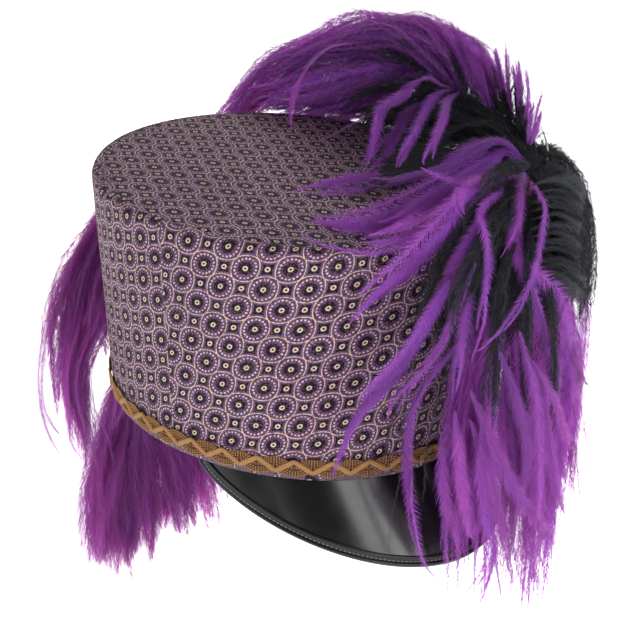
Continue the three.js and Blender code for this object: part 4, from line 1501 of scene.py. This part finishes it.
class SHAKO_OT_crown_top(bpy.types.Operator):
    """Cover the crown's top with brocade"""

    bl_idname = "shako.crown_top"
    bl_label = "Crown top"

    def execute(self, context):
        sizes = context.scene.shako_sizes
        bm, _ = spun_section(top_section(sizes), TOP_STEPS, 0.0)
        dress_top(bm, current_form(), sizes)
        mesh = mesh_of(bm, "crown_top_cloth")
        place_piece("crown_top_cloth", mesh, "crown_top", "brocade", bpy.data.materials["brocade_cloth"])
        return {"FINISHED"}


class SHAKO_OT_braid(bpy.types.Operator):
    """Wind the gold gimp braid round the foot of the wall"""

    bl_idname = "shako.braid"
    bl_label = "Gimp braid"

    def execute(self, context):
        mesh = braid_mesh(context.scene.shako_sizes, current_form())
        place_piece("gimp_braid", mesh, "braid_band", "gold_braid", braid_paint(context.scene.shako_colours))
        return {"FINISHED"}


class SHAKO_OT_peak(bpy.types.Operator):
    """Make the patent leather peak, its binding and the stitches"""

    bl_idname = "shako.peak"
    bl_label = "Peak"

    def execute(self, context):
        sizes, colours = context.scene.shako_sizes, context.scene.shako_colours
        form = current_form()
        gloss = leather_paint(colours, "peak_gloss", 0.20, 0.15)
        sheet = place_piece("peak_leather", visor_mesh(sizes, form), "visor", "patent_leather", gloss)
        wall = sheet.modifiers.new("thickness", "SOLIDIFY")
        wall.thickness = sizes.visor_thick
        wall.offset = 0.0
        edge = leather_paint(colours, "binding_leather", 0.30, 0.8)
        place_piece("peak_binding", binding_mesh(sizes, form), "visor_binding", "patent_leather", edge)
        stitches = stitch_mesh(sizes, form)
        place_piece("binding_stitches", stitches, "visor_binding", "patent_leather", thread_paint(colours))
        return {"FINISHED"}


class SHAKO_OT_stem(bpy.types.Operator):
    """Finish the hidden post that carries the plume"""

    bl_idname = "shako.stem"
    bl_label = "Plume stem"

    def execute(self, context):
        paint = Paint("stem_black")
        dull = paint.cloud(120.0, 3.0)
        paint.feed({
            "Base Color": paint.mix(dull, (0.02, 0.02, 0.022), (0.05, 0.05, 0.055)),
            "Roughness": 0.5 + 0.3 * dull,
        })
        stem = bpy.data.objects["plume_stem"]
        stem.data.materials.clear()
        stem.data.materials.append(paint.material)
        return {"FINISHED"}


class SHAKO_OT_plume_fall(bpy.types.Operator):
    """Hang the purple barbs under the black ones"""

    bl_idname = "shako.plume_fall"
    bl_label = "Plume fall"

    def execute(self, context):
        form = current_form()
        tuft = Tuft(clumps=10, barbs=6, vane=0.0036, stray=0.006, wisp=0.003, shares=(0.76, 1.06), lean=20,
                    dye=(0.0, 0.9), blend=0.9)
        groups = [
            (*head_locks(form, FALL_LOCKS, FALL_HEAD), tuft),
            *strand_groups(form, FALL_STRANDS, stray=0.002, shares=(0.92, 1.0), lean=21, dye=(0.2, 0.85),
                           fluff=0.5, pitch=0.0006),
        ]
        place_barbs("plume_fall_barbs", 11, groups, "plume_fall", "purple")
        return {"FINISHED"}


class SHAKO_OT_plume_black(bpy.types.Operator):
    """Lay the black barbs over the fall and under the crest"""

    bl_idname = "shako.plume_black"
    bl_label = "Plume black"

    def execute(self, context):
        form = current_form()
        fall = Tuft(clumps=12, barbs=5, vane=0.0030, stray=0.004, dye=(0.0, 0.9))
        top = Tuft(clumps=10, barbs=4, vane=0.0030, stray=0.004, dye=(0.0, 0.7))
        groups = [
            (*head_locks(form, BLACK_FALL_LOCKS, BLACK_HEAD), fall),
            (*head_locks(form, BLACK_TOP_LOCKS, BLACK_HEAD), top),
            # Painted sheen: the broad feather's ribs take the greyer half of the black dye
            *strand_groups(form, rib_rows(), stray=0.002, shares=(0.9, 1.0), lean=20, dye=(0.5, 1.0),
                           fluff=0.3),
        ]
        place_barbs("plume_black_barbs", 12, groups, "plume_black", "black")
        groups = strand_groups(form, BLACK_STRANDS, stray=0.002, shares=(0.85, 1.0), lean=24, dye=(0.0, 0.7))
        place_barbs("plume_black_strands", 16, groups, "plume_black", "black")
        quill = quill_paint(context.scene.shako_colours)
        place_piece("plume_quill", quill_mesh(form), "plume_black", "black_feather", quill)
        return {"FINISHED"}


class SHAKO_OT_plume_front(bpy.types.Operator):
    """Lay the broad purple barbs over the front and the top"""

    bl_idname = "shako.plume_front"
    bl_label = "Plume front"

    def execute(self, context):
        groups = strand_groups(current_form(), FRONT_STRANDS, **FINGER)
        place_barbs("plume_front_barbs", 13, groups, "plume_front", "purple")
        return {"FINISHED"}


class SHAKO_OT_plume_crest(bpy.types.Operator):
    """Sweep the long purple plume back over the top and down behind"""

    bl_idname = "shako.plume_crest"
    bl_label = "Plume crest"

    def execute(self, context):
        form = current_form()
        sweep = Tuft(clumps=13, barbs=5, vane=0.0024, stray=0.003, gather=0.0024, lean=24, dye=(0.0, 0.75),
                     blend=0.9)
        inner = Tuft(clumps=8, barbs=5, vane=0.0028, stray=0.005, dye=(0.0, 0.5))
        top = [
            (*shaft_locks(form, CREST_SWEEP_LOCKS), sweep),
            (*shaft_locks(form, CREST_INNER_LOCKS), inner),
            *strand_groups(form, CREST_FINGERS, **FINGER),
            *strand_groups(form, CREST_STRANDS, stray=0.001, shares=(0.9, 1.0), lean=26, dye=(0.1, 0.8),
                           twist=15, fluff=0.2),
        ]
        place_barbs("plume_crest_sweep", 14, top, "plume_crest", "purple")
        tail = Tuft(clumps=31, barbs=2, vane=0.0050, stray=0.004, gather=0.002, shares=(0.86, 0.98), lean=16,
                    dye=(0.75, 1.2), blend=0.9, fluff=0.9, taper=6, pitch=0.0011)
        curl = Tuft(clumps=15, barbs=4, vane=0.0032, stray=0.003, shares=(0.76, 1.04), lean=15,
                    dye=(0.7, 1.2), fluff=0.9, taper=5, pitch=0.0011)
        behind = [
            (*shaft_locks(form, CREST_TAIL_LOCKS), tail),
            (*shaft_locks(form, CREST_CURL_LOCKS), curl),
            *strand_groups(form, CREST_SHAFT_COVER, stray=0.003, shares=(0.9, 1.0), lean=18, dye=(0.5, 1.0),
                           pitch=0.0012),
            *strand_groups(form, CURL_STRANDS, stray=0.004, shares=(0.9, 1.0), lean=13, dye=(0.5, 1.0),
                           fluff=0.3, pitch=0.0005),
        ]
        place_barbs("plume_crest_tail", 15, behind, "plume_crest", "purple")
        return {"FINISHED"}


class SHAKO_OT_stage(bpy.types.Operator):
    """Set up the floor, the softboxes and the camera"""

    bl_idname = "shako.stage"
    bl_label = "Stage"

    def execute(self, context):
        add_camera()
        add_floor()
        set_world()
        for box in SOFTBOXES:
            add_softbox(*box)
        return {"FINISHED"}


STEPS = (
    SHAKO_OT_stage,
    SHAKO_OT_crown_side,
    SHAKO_OT_crown_top,
    SHAKO_OT_braid,
    SHAKO_OT_peak,
    SHAKO_OT_stem,
    SHAKO_OT_plume_fall,
    SHAKO_OT_plume_black,
    SHAKO_OT_plume_front,
    SHAKO_OT_plume_crest,
)


class SHAKO_PT_dressing(bpy.types.Panel):
    """Lists the steps that dress the hat"""

    bl_idname = "SHAKO_PT_dressing"
    bl_label = "Shako"
    bl_space_type = "VIEW_3D"
    bl_region_type = "UI"
    bl_category = "Shako"

    def draw(self, context):
        for group in (context.scene.shako_sizes, context.scene.shako_colours):
            box = self.layout.box()
            for name in group.__annotations__:
                box.prop(group, name)
        for step in STEPS:
            self.layout.operator(step.bl_idname)


CLASSES = (ShakoSizes, ShakoColours, *STEPS, SHAKO_PT_dressing)


def register():
    for cls in CLASSES:
        bpy.utils.register_class(cls)
    bpy.types.Scene.shako_sizes = PointerProperty(type=ShakoSizes)
    bpy.types.Scene.shako_colours = PointerProperty(type=ShakoColours)


def unregister():
    del bpy.types.Scene.shako_colours
    del bpy.types.Scene.shako_sizes
    for cls in reversed(CLASSES):
        bpy.utils.unregister_class(cls)


def main():
    register()
    for step in STEPS:
        group, name = step.bl_idname.split(".")
        getattr(getattr(bpy.ops, group), name)()


if __name__ == "__main__":
    main()
